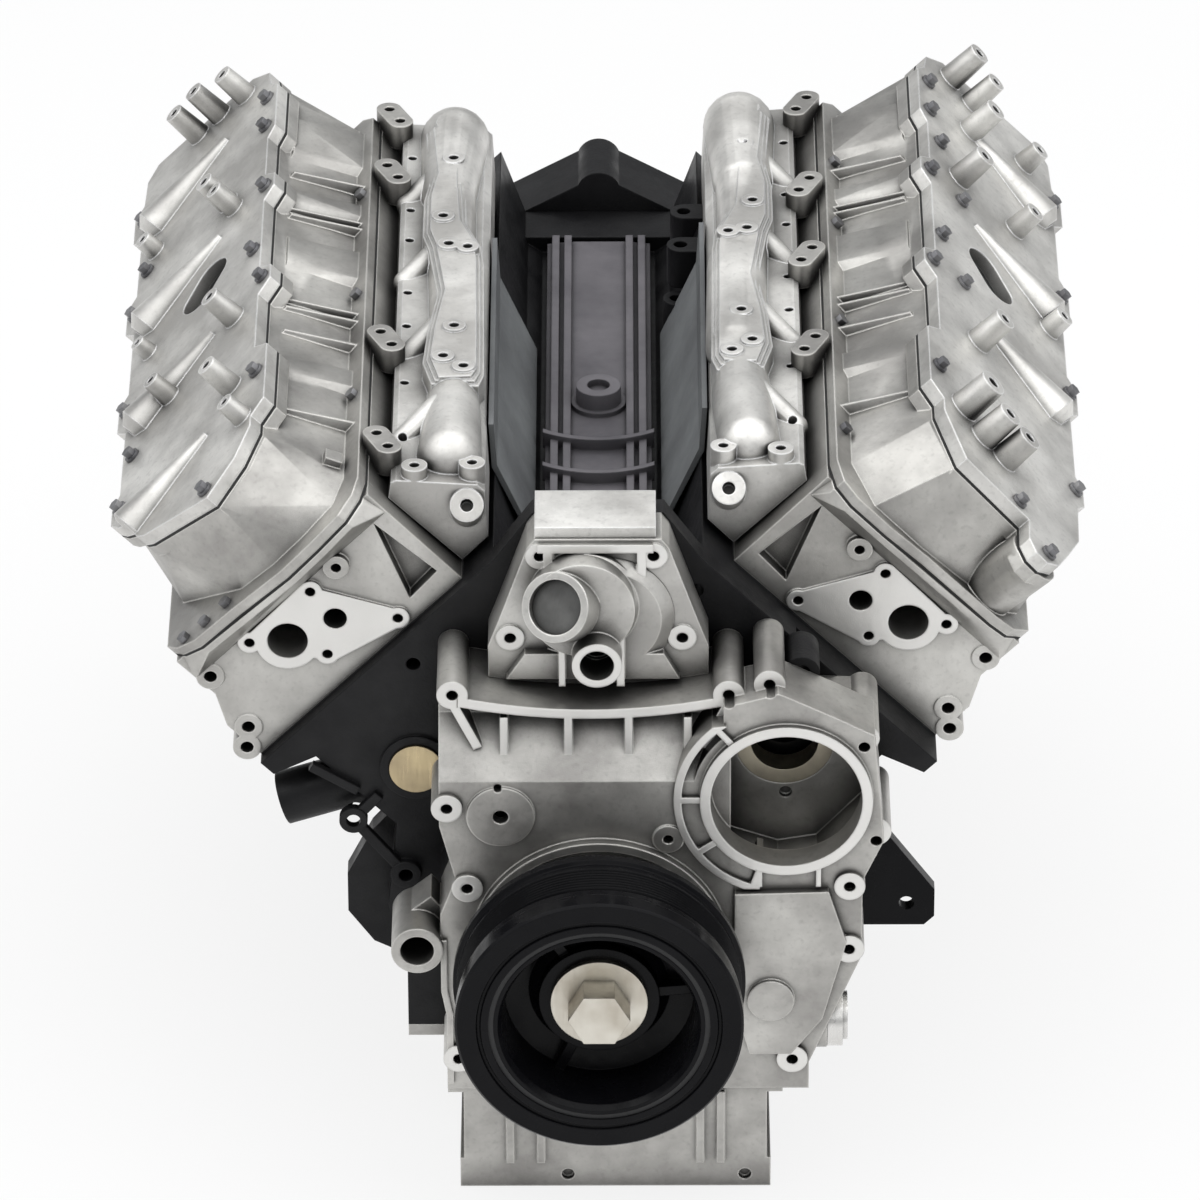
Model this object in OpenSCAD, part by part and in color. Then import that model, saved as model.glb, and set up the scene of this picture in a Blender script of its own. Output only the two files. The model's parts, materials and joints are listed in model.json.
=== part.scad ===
// Long block of a 6.6 litre 90 degree V8 diesel engine.
// +X is the right bank seen from the front, +Y is the rear, +Z is up.
// The origin is the centre of the flywheel flange face, on the crankshaft axis.

/* [Cylinders] */
// Cylinder bore
bore_d = 103; // [98:0.5:106]
// Piston stroke
stroke = 99; // [94:0.5:100]
// Connecting rod length between centres
rod_len = 163; // [160:0.5:166]
// Distance between neighbouring cylinders of one bank
bore_pitch = 128; // [124:0.5:132]
// Height of the head joint above the crankshaft axis
deck_h = 263; // [260:0.5:268]
// How far the left bank sits ahead of the right bank
bank_offset = 25; // [22:0.5:28]

/* [Block] */
// Length of the cylinder block
block_len = 660; // [655:1:680]
// Height of the valley floor above the crankshaft axis
valley_floor_z = 222; // [210:1:226]
// Width of the deck face outboard of the cylinder axis
deck_out = 106; // [104:1:110]
// Width of the deck face inboard of the cylinder axis
deck_in = 150; // [146:1:152]
// Half width of the crankcase skirt
skirt_half_w = 150; // [146:1:154]
// Depth of the skirt below the crankshaft axis
skirt_drop = 130; // [126:1:136]
// Thickness of the main bearing bulkheads
bulkhead_t = 24; // [22:1:26]

/* [Heads and covers] */
// Length of a cylinder head
head_len = 608; // [606:1:616]
// Height of a cylinder head
head_h = 103; // [98:1:108]
// Distance from the block's front face to the left head's front face
head_setback = 12; // [8:1:16]
// Width of a head inboard of the cylinder axis
head_in = 117; // [114:1:120]
// Width of a head outboard of the cylinder axis
head_out = 105; // [102:1:108]
// Head gasket thickness
head_gasket_t = 1.2; // [0.8:0.1:2]
// Cover gasket thickness
cover_gasket_t = 2.4; // [1.5:0.1:3]
// Height of the lower valve cover
lower_cover_h = 68; // [60:1:76]
// Wall thickness of the cast covers
cover_wall = 5; // [4:0.5:7]
// Thickness of the upper valve cover plate
upper_plate_t = 11; // [9:0.5:14]

/* [Crankshaft] */
// Main journal diameter
main_d = 80; // [76:1:84]
// Crankpin diameter
pin_d = 63; // [60:1:66]
// Radius swept by the crank webs and counterweights
web_sweep = 84; // [83:0.5:86]
// Diameter of the crank nose
nose_d = 60; // [54:1:64]
// Flywheel flange diameter
flange_d = 112; // [108:1:118]
// Bolt circle of the flywheel flange
flange_pcd = 88; // [84:1:92]
// Flywheel bolt hole diameter
flange_hole_d = 11; // [9:0.5:12]
// Pilot bore in the flywheel flange
pilot_d = 42; // [36:1:46]
// How far the flange stands proud of the rear housing
flange_proud = 12; // [8:1:16]

/* [Vibration damper] */
// Outer diameter of the pulley ring
damper_d = 220; // [212:1:226]
// Diameter of the rear flange of the pulley ring
damper_flange_d = 224; // [222:1:232]
// Depth of the damper, front to rear
damper_depth = 67; // [62:1:72]
// Outer diameter of the rubber ring
rubber_d = 169; // [164:1:174]
// Radial thickness of the rubber ring
rubber_t = 4; // [3:0.5:6]
// Depth of the dish in front of the hub
dish_depth = 38; // [34:1:42]
// Washer diameter
washer_d = 74; // [68:1:80]
// Width across flats of the crank bolt
bolt_af = 41; // [36:1:46]
// Height of the crank bolt's head
bolt_head_h = 25; // [20:1:28]

/* [Timing gears] */
// Module of the gear teeth
gear_m = 3; // [2.9:0.1:3.1]
// Face width of the gears
gear_w = 22; // [18:1:24]
// Play between the flanks of two meshing gears
backlash = 0.8; // [0.7:0.1:1.1]
// Play between the flanks of the oil pump rotors
rotor_play = 1.8; // [1.7:0.1:2.2]

/* [Front cover] */
// Distance from the block's front face to the cover's wall
front_cover_depth = 91; // [88:1:98]
// Thickness of the raised pad that carries the front cover
pad_t = 38; // [36:1:42]
// Wall thickness of the front cover
front_wall = 7; // [5:0.5:9]
// Coolant pump bore in the front cover
pump_bore_d = 116; // [110:1:120]
// Depth of the coolant pump ring
pump_ring_depth = 97; // [94:1:102]
// Sideways place of the coolant pump axis
pump_x = 143; // [140:1:146]
// Height of the coolant pump axis
pump_z = 135; // [130:1:140]
// Bore of the two coolant tubes
tube_bore_d = 26; // [22:1:30]
// Depth of the upper gear housing
gear_housing_depth = 40; // [36:1:46]

/* [Oil pan and rear] */
// Height of the oil pan
pan_h = 96; // [88:1:104]
// Wall thickness of the oil pan
pan_wall = 6; // [5:0.5:8]
// Depth of the rear housing
rear_housing_depth = 60; // [52:1:68]
// Diameter of the cup plugs in the block's front face
core_plug_d = 42; // [36:1:46]

/* [Hidden] */
$fn = 40;
half_v = 45;
running_gap = 0.3;
fit_gap = 0.05;
crown_gap = 0.5;
crank_r = stroke / 2;
comp_h = deck_h - crown_gap - crank_r - rod_len;
bore_r = bore_d / 2;
// Teeth of the crank, cam, oil pump drive and oil pump rotor gears
crank_teeth = 30;
cam_teeth = 60;
pump_teeth = 36;
rotor_teeth = 12;
cam_z = gear_m * (crank_teeth + cam_teeth) / 2;
pump_dir = 330;
pump_reach = gear_m * (crank_teeth + pump_teeth) / 2;
oil_x = pump_reach * cos(pump_dir);
oil_z = pump_reach * sin(pump_dir);
rotor_gap = gear_m * rotor_teeth;
// Stations along the crankshaft, from the flange face forwards
rear_housing_y = -flange_proud;
block_rear_y = rear_housing_y - rear_housing_depth;
block_front_y = block_rear_y - block_len;
mid_y = block_front_y + head_setback + (bank_offset + head_len) / 2;
cover_face_y = block_front_y - front_cover_depth;
boss_face_y = block_front_y - 78;
pump_face_y = block_front_y - pump_ring_depth;
pad_y = block_front_y - pad_t;
gear_y = block_front_y - gear_w - 8;
damper_rear_y = cover_face_y - 45;
damper_front_y = damper_rear_y - damper_depth;
hub_face_y = damper_front_y + dish_depth;
nose_end_y = hub_face_y + 6;
// Levels along a bank's axis
head_t0 = deck_h + head_gasket_t;
head_t1 = head_t0 + head_h;
lower_t0 = head_t1 + cover_gasket_t;
lower_t1 = lower_t0 + lower_cover_h;
upper_t0 = lower_t1 + cover_gasket_t;
upper_t1 = upper_t0 + upper_plate_t;
// Half height in X of a point that lies s along the deck and t up the bank
function bank_x(s, t) = t * sin(half_v) + s * cos(half_v);
function bank_z(s, t) = t * cos(half_v) - s * sin(half_v);
function sym(pts) = concat(pts, [for (i = [len(pts) - 1:-1:0]) [-pts[i].x, pts[i].y]]);
function head_front(side) = block_front_y + head_setback + (side > 0 ? bank_offset : 0);
function head_mid(side) = head_front(side) + head_len / 2;
function cyl_y(side, k) = head_mid(side) + (k - 1.5) * bore_pitch;
function main_y(k) = mid_y + (k - 2) * bore_pitch;
function bay_y(k) = mid_y + (k - 1.5) * bore_pitch;
// Direction of each crankpin, from +Z towards +X
pin_dirs = [45, 135, 315, 225];
// Height of a gudgeon pin up its bank for a crankpin that points a degrees away
function pin_t(a) = crank_r * cos(a) + sqrt(pow(rod_len, 2) - pow(crank_r * sin(a), 2));
function piston_t(side, k) = pin_t(pin_dirs[k] - side * half_v);
// Outline of a spur gear with straight flanks
function tooth_half(r, n, play) = let (rp = gear_m * n / 2)
    ((PI * gear_m - play) / 4 - (r - rp) * tan(20)) / r * 180 / PI;
function gear_pts(n, turn, play = backlash) = let (
    rp = gear_m * n / 2,
    radii = [rp - 1.25 * gear_m, rp, rp + 0.9 * gear_m])
    [for (i = [0:n - 1]) for (j = [0:5])
        let (
            r = j < 3 ? radii[j] : radii[5 - j],
            half = tooth_half(r, n, play),
            a = turn + i * 360 / n + (j < 3 ? -half : half))
        r * [cos(a), sin(a)]];

// Puts a piece on a bank: local X runs outboard along the deck, local Z up the cylinders
module on_bank(side) {
    mirror([side < 0 ? 1 : 0, 0, 0]) rotate([0, half_v, 0]) children();
}

// Extrudes a section drawn in the X-Z plane from y0 to y1
module slab(y0, y1) {
    translate([0, y1, 0]) rotate([90, 0, 0]) linear_extrude(y1 - y0) children();
}

// Extrudes an outline drawn in the X-Y plane from z0 to z1
module plate(z0, z1) {
    translate([0, 0, z0]) linear_extrude(z1 - z0) children();
}

module rod_y(x, z, r, y0, y1) {
    translate([x, y0, z]) rotate([-90, 0, 0]) cylinder(r = r, h = y1 - y0);
}

module rod_z(x, y, r, z0, z1) {
    translate([x, y, z0]) cylinder(r = r, h = z1 - z0);
}

module ring_y(x, z, r1, r0, y0, y1) {
    difference() {
        rod_y(x, z, r1, y0, y1);
        rod_y(x, z, r0, y0 - 1, y1 + 1);
    }
}

// Flat bar between two points of the X-Z plane
module bar_xz(a, b, w) {
    d = b - a;
    translate(a) rotate(atan2(d.y, d.x)) translate([0, -w / 2]) square([norm(d), w]);
}

// Block
block_side = [[skirt_half_w + 14, -20], [skirt_half_w, -60], [skirt_half_w, -skirt_drop]];
block_section = sym(concat([
    [46, valley_floor_z],
    [58, valley_floor_z + 8],
    [bank_x(-deck_in, deck_h), bank_z(-deck_in, deck_h)],
    [bank_x(deck_out, deck_h), bank_z(deck_out, deck_h)],
    [bank_x(deck_out, deck_h - 14), bank_z(deck_out, deck_h - 14)],
    [bank_x(bore_r + 20, deck_h - 26), bank_z(bore_r + 20, deck_h - 26)],
    [bank_x(bore_r + 20, 150), bank_z(bore_r + 20, 150)]], block_side));
housing_top = 334;
tower_half_w = 50;
crankcase_r = web_sweep + 16;
jacket_low = 138;
jacket_t = 30;
liner_t = 7;
cap_half_w = 60;
cap_seat = 52;
cap_bolt_x = 51;
cap_bolt_r = 5.5;
cap_bolt_grip = 34;
housing_r = main_d / 2 + 2.5;
cam_journal_r = 27;
cam_tunnel_r = cam_journal_r + 3;

module engine_block() {
    color("#1b1b1d") difference() {
        union() {
            slab(block_front_y, block_rear_y) polygon(block_section);
            slab(block_front_y, block_front_y + 20) polygon(sym([[tower_half_w, housing_top],
                [bank_x(-deck_in, deck_h), bank_z(-deck_in, deck_h)], [58, valley_floor_z]]));
            slab(block_rear_y - 44, block_rear_y) polygon(sym([[64, valley_floor_z + 14],
                [96, valley_floor_z + 36], [96, valley_floor_z - 20], [40, valley_floor_z - 20]]));
            block_side_bosses();
            slab(pad_y, block_front_y + 1) polygon(pad_outline);
            rod_y(155, 214, 14, pad_y, block_front_y + 1);
            for (side = [-1, 1]) on_bank(side) for (k = [0:3])
                slab(cyl_y(side, k) - 26, cyl_y(side, k) + 26)
                    polygon([[bore_r + 18, 120], [bore_r + 26, 128], [bore_r + 26, deck_h - 22],
                        [bore_r + 18, deck_h - 22]]);
        }
        for (side = [-1, 1]) on_bank(side) for (k = [0:3])
            rod_z(0, cyl_y(side, k), bore_r, crankcase_r - 16, deck_h + 1);
        for (k = [0:3]) {
            y0 = bay_y(k) - (bore_pitch - bulkhead_t) / 2;
            y1 = bay_y(k) + (bore_pitch - bulkhead_t) / 2;
            rod_y(0, 0, crankcase_r, y0, y1);
            translate([-skirt_half_w + 14, y0, -skirt_drop - 1])
                cube([2 * skirt_half_w - 28, y1 - y0, skirt_drop + 1]);
        }
        front_gallery();
        for (side = [-1, 1]) on_bank(side) water_jacket(side);
        slab(pad_y - 1, block_front_y) polygon(gear_cavity);
        rod_y(155, 214, 7, pad_y - 1, block_front_y + 20);
        rod_y(0, 0, housing_r, block_front_y - 1, block_rear_y + 1);
        rod_y(0, cam_z, cam_tunnel_r, block_front_y - 1, block_rear_y - 20);
        for (k = [0:4]) {
            translate([-cap_half_w - 4, main_y(k) - bulkhead_t / 2 - 1, -skirt_drop - 1])
                cube([2 * cap_half_w + 8, bulkhead_t + 2, skirt_drop + 1]);
            for (s = [-1, 1])
                rod_z(s * cap_bolt_x, main_y(k), cap_bolt_r + running_gap, -1, cap_bolt_grip + 2);
        }
        block_front_holes();
        for (side = [-1, 1]) on_bank(side) for (k = [0:3]) for (s = [-1, 1])
            rod_z(s * (bore_r + 14), cyl_y(side, k) + bore_pitch / 2, 7, deck_h - 60, deck_h + 1);
    }
}

// Coolant space around the four cylinders of a bank
module water_jacket(side) {
    y0 = cyl_y(side, 0) - bore_pitch / 2 + 4;
    difference() {
        translate([-bore_r - jacket_t, y0, jacket_low])
            cube([2 * bore_r + jacket_t + 14, 4 * bore_pitch - 8, deck_h - 12 - jacket_low]);
        for (k = [0:3]) rod_z(0, cyl_y(side, k), bore_r + liner_t, jacket_low - 1, deck_h);
        for (k = [0:4]) for (s = [-1, 1])
            rod_z(s * (bore_r + 14), cyl_y(side, 0) + (k - 0.5) * bore_pitch, 13, jacket_low - 1, deck_h);
    }
}

// Space between the front face and the first bulkhead
module front_gallery() {
    y0 = block_front_y + 14;
    y1 = main_y(0) - bulkhead_t / 2;
    rod_y(0, 0, crankcase_r - 14, y0, y1);
    translate([-skirt_half_w + 14, y0, -skirt_drop - 1])
        cube([2 * skirt_half_w - 28, y1 - y0, skirt_drop + 1]);
    y2 = main_y(4) + bulkhead_t / 2;
    y3 = block_rear_y - 14;
    translate([-skirt_half_w + 14, y2, -skirt_drop - 1])
        cube([2 * skirt_half_w - 28, y3 - y2, skirt_drop + 1]);
}

plug_left = [-141, 108];
module block_front_holes() {
    rod_y(plug_left.x, plug_left.y, core_plug_d / 2, block_front_y - 6, block_front_y + 8);
    for (p = [[-142, 200], [-70, 262], [75, 265], [-190, 62], [-150, 12]])
        rod_y(p.x, p.y, 5.5, block_front_y - 8, block_front_y + 30);
    rod_y(pump_x, pump_z, bearing_d / 2, block_front_y - 1, block_front_y + 22);
    rod_y(pump_x, pump_z, 20, block_front_y - 1, block_front_y + 45);
}

module block_side_bosses() {
    // Bosses and webs on the front face
    rod_y(-190, 62, 11, block_front_y - 6, block_front_y + 1);
    rod_y(-150, 12, 12, block_front_y - 6, block_front_y + 1);
    ring_y(plug_left.x, plug_left.y, core_plug_d / 2 + 7, core_plug_d / 2, block_front_y - 3, block_front_y + 1);
    slab(block_front_y - 5, block_front_y + 1) {
        bar_xz([-190, 62], [-150, 12], 8);
        bar_xz([-190, 62], [-170, 84], 8);
        bar_xz([-222, 110], [-186, 88], 7);
    }
    // Slanted tube boss on the left flank
    translate([-150, block_front_y + 30, 92]) rotate([0, -108, 0]) cylinder(r = 21, h = 100);
    // Engine mount ears on both flanks
    for (side = [-1, 1]) mirror([side < 0 ? 1 : 0, 0, 0])
        slab(block_front_y + 16, block_front_y + 34)
            polygon([[150, 70], [176, 40], [196, 0], [196, -34], [176, -62], [140, -80]]);
}

module main_bearing_caps() {
    color("#5c5a58") for (k = [0:4]) difference() {
        slab(main_y(k) - bulkhead_t / 2, main_y(k) + bulkhead_t / 2) difference() {
            polygon(sym([[cap_half_w + 2, 0], [cap_half_w + 2, -cap_seat], [40, -cap_seat], [30, -70]]));
            circle(r = housing_r);
        }
        for (s = [-1, 1]) rod_z(s * cap_bolt_x, main_y(k), cap_bolt_r + running_gap, -cap_seat - 1, 1);
    }
}

module main_bearings() {
    color("#b9b3a4") for (k = [0:4]) for (s = [0, 180]) intersection() {
        ring_y(0, 0, housing_r, main_d / 2 + 0.05, main_y(k) - 11, main_y(k) + 11);
        rotate([0, s, 0]) translate([-60, main_y(k) - 20, 0]) cube([120, 40, 60]);
    }
}

module main_cap_bolts() {
    color("#3b3b3d") for (k = [0:4]) for (s = [-1, 1]) {
        rod_z(s * cap_bolt_x, main_y(k), cap_bolt_r, -cap_seat, cap_bolt_grip);
        translate([s * cap_bolt_x, main_y(k), -cap_seat - 9]) cylinder(r = 9.5, h = 9, $fn = 6);
    }
}

module cam_bearings() {
    color("#c4b58c") for (k = [0:4])
        ring_y(0, cam_z, cam_tunnel_r, cam_journal_r + 0.05, main_y(k) - 10, main_y(k) + 10);
}

// Cylinder heads
round_port = [16, 321];
port_r = 17;
small_holes = [[38, 340.5], [-27.5, 339], [-58, 275], [3, 291]];
module head_section() {
    polygon([[-head_in, head_t0], [head_out, head_t0], [head_out, head_t0 + 36],
        [head_out - 14, head_t0 + 62], [head_out - 14, head_t1], [-head_in - 2, head_t1]]);
}

module cylinder_head(side) {
    y0 = head_front(side);
    y1 = y0 + head_len;
    color("#b7b5b0") difference() {
        union() {
            slab(y0, y1) head_section();
            // Bosses on the outboard flank
            for (p = [[82, 340], [94, 288], [108, 276]])
                rod_y(p.x, p.y, 11, y0 - 1, y0 + 40);
            rod_y(-58, 341, 10, y0 - 6, y0 + 30);
            for (k = [0:3]) slab(cyl_y(side, k) - 32, cyl_y(side, k) + 32)
                polygon([[head_out - 20, head_t0 + 6], [head_out + 6, head_t0 + 6],
                    [head_out + 6, head_t0 + 50], [head_out - 20, head_t0 + 50]]);
            // Raised pad around the ports of the front face
            slab(y0 - 3, y0 + 1) {
                translate(round_port) circle(r = 25);
                for (p = small_holes) translate(p) circle(r = 9);
                polygon([[38, 332], [44, 346], [-27, 348], [-64, 279], [-56, 268], [4, 283]]);
            }
        }
        // Front ports and tapped holes
        rod_y(round_port.x, round_port.y, 15.5, y0 - 5, y0 + 60);
        rod_y(-24, 309, 9, y0 - 5, y0 + 40);
        for (p = small_holes) rod_y(p.x, p.y, 4, y0 - 8, y0 + 20);
        rod_y(-58, 341, 4, y0 - 8, y0 + 20);
        for (p = [[82, 340], [94, 288], [108, 276]]) rod_y(p.x, p.y, 5, y0 - 8, y0 + 24);
        slab(y0 - 4, y0 + 14) polygon([[-104, 346], [-108, 282], [-76, 280]]);
        // Exhaust ports and their bolt holes
        for (k = [0:3]) {
            translate([head_out + 8, cyl_y(side, k), head_t0 + 28]) rotate([0, -90, 0]) {
                cylinder(r = port_r, h = 60);
                translate([0, 0, 59]) cylinder(r1 = port_r, r2 = port_r - 5, h = 12);
            }
            for (d = [-1, 1]) translate([head_out + 8, cyl_y(side, k) + d * 26, head_t0 + 28])
                rotate([0, -90, 0]) cylinder(r = 4, h = 26);
        }
        // Rocker well, open to the valve cover
        slab(y0 + 12, y1 - 12) polygon([[-head_in + 12, head_t1 - 26], [head_out - 28, head_t1 - 26],
            [head_out - 28, head_t1 + 1], [-head_in + 12, head_t1 + 1]]);
    }
}
module cylinder_head_left() {
    on_bank(-1) cylinder_head(-1);
}
module cylinder_head_right() {
    on_bank(1) cylinder_head(1);
}

module head_gaskets() {
    color("#55585c") for (side = [-1, 1]) on_bank(side) difference() {
        y0 = head_front(side);
        translate([-head_in, y0, deck_h]) cube([head_in + head_out, head_len, head_gasket_t]);
        for (k = [0:3]) rod_z(0, cyl_y(side, k), bore_r + 1, deck_h - 1, head_t0 + 1);
    }
}

// Valve covers
cover_low_out = head_out - 14;
cover_low_in = head_in + 2;
cover_top_out = 72;
cover_top_in = 80;
// Outlines run along the deck and the crankshaft, from a head's front face
lower_outline = [[-cover_low_in, 0], [cover_low_out, 0], [cover_low_out, head_len], [-cover_low_in, head_len]];
left_top = [[-cover_top_in, -16], [-26, 2], [44, 34], [cover_top_out, 62], [cover_top_out, head_len - 30],
    [40, head_len - 4], [10, head_len + 14], [-cover_top_in, head_len + 14]];
right_top = [[-cover_top_in + 6, 60], [-54, 8], [16, -4], [56, 14], [cover_top_out, 44],
    [cover_top_out, head_len - 14], [34, head_len + 18], [-cover_top_in + 6, head_len + 18]];
function top_outline(side) = side < 0 ? left_top : right_top;
function inset(p, d, l) = [for (q = p) [q.x + (q.x < 0 ? d : -d), q.y + (q.y < l / 2 ? d : -d)]];

module lower_valve_cover(side) {
    y0 = head_front(side);
    rib_in = 6;
    color("#bdbbb6") difference() {
        union() {
            hull() {
                translate([0, y0, lower_t0]) linear_extrude(10) polygon(lower_outline);
                translate([0, y0, lower_t1 - 8]) linear_extrude(8) polygon(top_outline(side));
            }
            // Flange at the head joint
            translate([0, y0, lower_t0]) linear_extrude(8)
                polygon([[-cover_low_in - 2, -2], [cover_low_out + 6, -2],
                    [cover_low_out + 6, head_len + 2], [-cover_low_in - 2, head_len + 2]]);
            // Panels and ribs on the inboard wall
            for (k = [0:3]) {
                slab(cyl_y(side, k) - 34, cyl_y(side, k) + 22) polygon([
                    [-cover_low_in - 4, lower_t0 + 10], [-cover_low_in + 12, lower_t0 + 4],
                    [-cover_top_in + 4, lower_t1 - 4], [-cover_top_in - 7, lower_t1 - 12]]);
                for (d = [-52, 40]) slab(cyl_y(side, k) + d, cyl_y(side, k) + d + rib_in) polygon([
                    [-cover_low_in - 2, lower_t0 + 4], [-cover_low_in + 12, lower_t0 + 4],
                    [-cover_top_in + 4, lower_t1], [-cover_top_in - 5, lower_t1]]);
            }
        }
        hull() {
            translate([0, y0, lower_t0 - 1]) linear_extrude(8)
                polygon(inset(lower_outline, cover_wall + 4, head_len));
            translate([0, y0, lower_t1 - 7]) linear_extrude(8.1)
                polygon(inset(top_outline(side), cover_wall + 2, head_len));
        }
    }
}
module lower_valve_cover_left() {
    on_bank(-1) lower_valve_cover(-1);
}
module lower_valve_cover_right() {
    on_bank(1) lower_valve_cover(1);
}

module lower_cover_gaskets() {
    color("#101010") for (side = [-1, 1]) on_bank(side)
        translate([0, head_front(side), head_t1]) linear_extrude(cover_gasket_t) difference() {
            polygon(lower_outline);
            polygon(inset(lower_outline, 10, head_len));
        }
}

module upper_cover_gaskets() {
    color("#101010") for (side = [-1, 1]) on_bank(side)
        translate([0, head_front(side), lower_t1]) linear_extrude(cover_gasket_t) difference() {
            polygon(top_outline(side));
            polygon(inset(top_outline(side), 8, head_len));
        }
}

// Standoff bosses: place along the deck, place from the head's front, height, radius
left_bosses = [[-20, 590, 34, 9], [12, 572, 26, 9], [34, 548, 26, 9], [-16, 478, 30, 9], [-48, 462, 24, 8],
    [-30, 340, 30, 9], [30, 300, 14, 8], [-14, 232, 34, 9], [-40, 214, 20, 8], [50, 190, 16, 8],
    [50, 400, 16, 8], [48, 520, 16, 8]];
right_bosses = [[-30, 612, 42, 10], [20, 590, 26, 9], [22, 556, 30, 10], [-4, 500, 30, 10],
    [48, 436, 22, 9], [-10, 286, 28, 10], [50, 280, 18, 9], [10, 180, 30, 10], [34, 90, 28, 10],
    [50, 140, 16, 8]];
function bosses(side) = side < 0 ? left_bosses : right_bosses;
// Oval opening: place along the deck, end radius and straight run
oval_s = -5;
oval_r = 17;
oval_run = 24;
function oval_y(side) = head_mid(side) + (side < 0 ? 61 : 33);
bolt_spots = [[-1, 24], [-1, 110], [-1, 205], [-1, 300], [-1, 395], [-1, 490], [-1, 585],
    [1, 110], [1, 240], [1, 370], [1, 500]];
function bolt_s(i) = bolt_spots[i].x < 0 ? -cover_top_in + 15 : cover_top_out - 9;

module upper_valve_cover(side) {
    y0 = head_front(side);
    color("#c3c1bc") difference() {
        union() {
            translate([0, y0, upper_t0]) linear_extrude(upper_plate_t) polygon(top_outline(side));
            // Four long teardrop ridges, thick at the outboard end
            for (k = [0:3]) teardrop(side, cyl_y(side, k));
            for (b = bosses(side)) rod_z(b.x, y0 + b.y, b[3], upper_t1 - 1, upper_t1 + b[2]);
        }
        for (b = bosses(side)) rod_z(b.x, y0 + b.y, b[3] * 0.42, upper_t1, upper_t1 + b[2] + 1);
        // Oval opening over the rear cylinders
        for (d = [-1, 1]) rod_z(oval_s, oval_y(side) + d * oval_run / 2, oval_r, upper_t0 - 1, upper_t1 + 30);
        translate([oval_s - oval_r, oval_y(side) - oval_run / 2, upper_t0 - 1])
            cube([2 * oval_r, oval_run, upper_plate_t + 31]);
        for (i = [0:len(bolt_spots) - 1])
            rod_z(bolt_s(i), y0 + bolt_spots[i].y, 3.2, upper_t0 - 1, upper_t1 + 1);
    }
}

// Ridge that grows from a point near the inboard edge to a round nose outboard
module teardrop(side, y) {
    intersection() {
        translate([44, y - 50, upper_t1]) rotate([0, 90, 125]) cylinder(r1 = 14, r2 = 2, h = 116);
        translate([0, head_front(side), upper_t1 - 1]) linear_extrude(30) polygon(top_outline(side));
    }
}
module upper_valve_cover_left() {
    on_bank(-1) upper_valve_cover(-1);
}
module upper_valve_cover_right() {
    on_bank(1) upper_valve_cover(1);
}

module cover_bolts() {
    color("#4a4a4c") for (side = [-1, 1]) on_bank(side) for (i = [0:len(bolt_spots) - 1])
        translate([bolt_s(i), head_front(side) + bolt_spots[i].y, 0]) {
            translate([0, 0, upper_t0]) cylinder(r = 3.1, h = upper_plate_t);
            translate([0, 0, upper_t1]) cylinder(r = 6.5, h = 2.5);
            translate([0, 0, upper_t1 + 2.5]) cylinder(r = 5, h = 5, $fn = 6);
        }
}

// Intake manifolds between each head and the valley
manifold_z = 341;
manifold_in = 86;
manifold_gap = 2.5;
module manifold_section(side) {
    s = -head_in - manifold_gap;
    polygon([[bank_x(s, head_t1 - 2), bank_z(s, head_t1 - 2)],
        [bank_x(s, deck_h + 4), bank_z(s, deck_h + 4)],
        [manifold_in - 2, 296], [manifold_in, manifold_z - 6],
        [manifold_in + 6, manifold_z], [150, manifold_z + 4]]);
}
module intake_manifold(side) {
    y0 = head_front(side);
    color("#b4b2ad") difference() {
        union() {
            slab(y0 + 20, y0 + head_len - 10) manifold_section(side);
            for (k = [0:3]) slab(cyl_y(side, k) - 8, cyl_y(side, k) + 8)
                polygon([[110, manifold_z - 4], [150, manifold_z], [150, manifold_z + 12], [116, manifold_z + 8]]);
            for (p = [[104, 560], [112, 470], [96, 350], [108, 316], [100, 286], [122, 250], [100, 120], [96, 60]])
                rod_z(p.x, y0 + p.y, 10, manifold_z - 4, manifold_z + 10);
        }
        for (p = [[104, 560], [112, 470], [96, 350], [108, 316], [100, 286], [122, 250], [100, 120], [96, 60]])
            rod_z(p.x, y0 + p.y, 4.2, manifold_z - 16, manifold_z + 11);
    }
}
module intake_manifold_left() {
    mirror([1, 0, 0]) intake_manifold(-1);
}
module intake_manifold_right() {
    intake_manifold(1);
}

module manifold_clamps() {
    color("#a9a7a2") for (side = [-1, 1]) mirror([side < 0 ? 1 : 0, 0, 0]) for (d = [80, 210, 340, 540])
        difference() {
            slab(head_front(side) + d - 9, head_front(side) + d + 9)
                polygon([[140, manifold_z + 4.2], [168, manifold_z + 4.2], [168, manifold_z + 18], [140, manifold_z + 18]]);
            for (x = [147, 160]) rod_z(x, head_front(side) + d, 3.4, manifold_z, manifold_z + 20);
        }
}

// Valley
module valley_cover() {
    y0 = block_front_y + 24;
    y1 = block_rear_y - 48;
    color("#17171a") difference() {
        union() {
            slab(y0, y1) polygon(sym([[42, valley_floor_z], [42, valley_floor_z + 10], [20, valley_floor_z + 12]]));
            for (s = [-1, 1]) for (x = [25, 35]) translate([s * x - 3, y0, valley_floor_z + 10])
                cube([6, y1 - y0, 8]);
            for (y = [84, 148, 206, 258]) valley_rib(y0 + y);
            rod_z(0, y0 + 318, 18, valley_floor_z + 10, valley_floor_z + 30);
            rod_z(0, y0 + 318, 22, valley_floor_z + 10, valley_floor_z + 16);
        }
        rod_z(0, y0 + 318, 9, valley_floor_z + 24, valley_floor_z + 31);
    }
}

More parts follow.
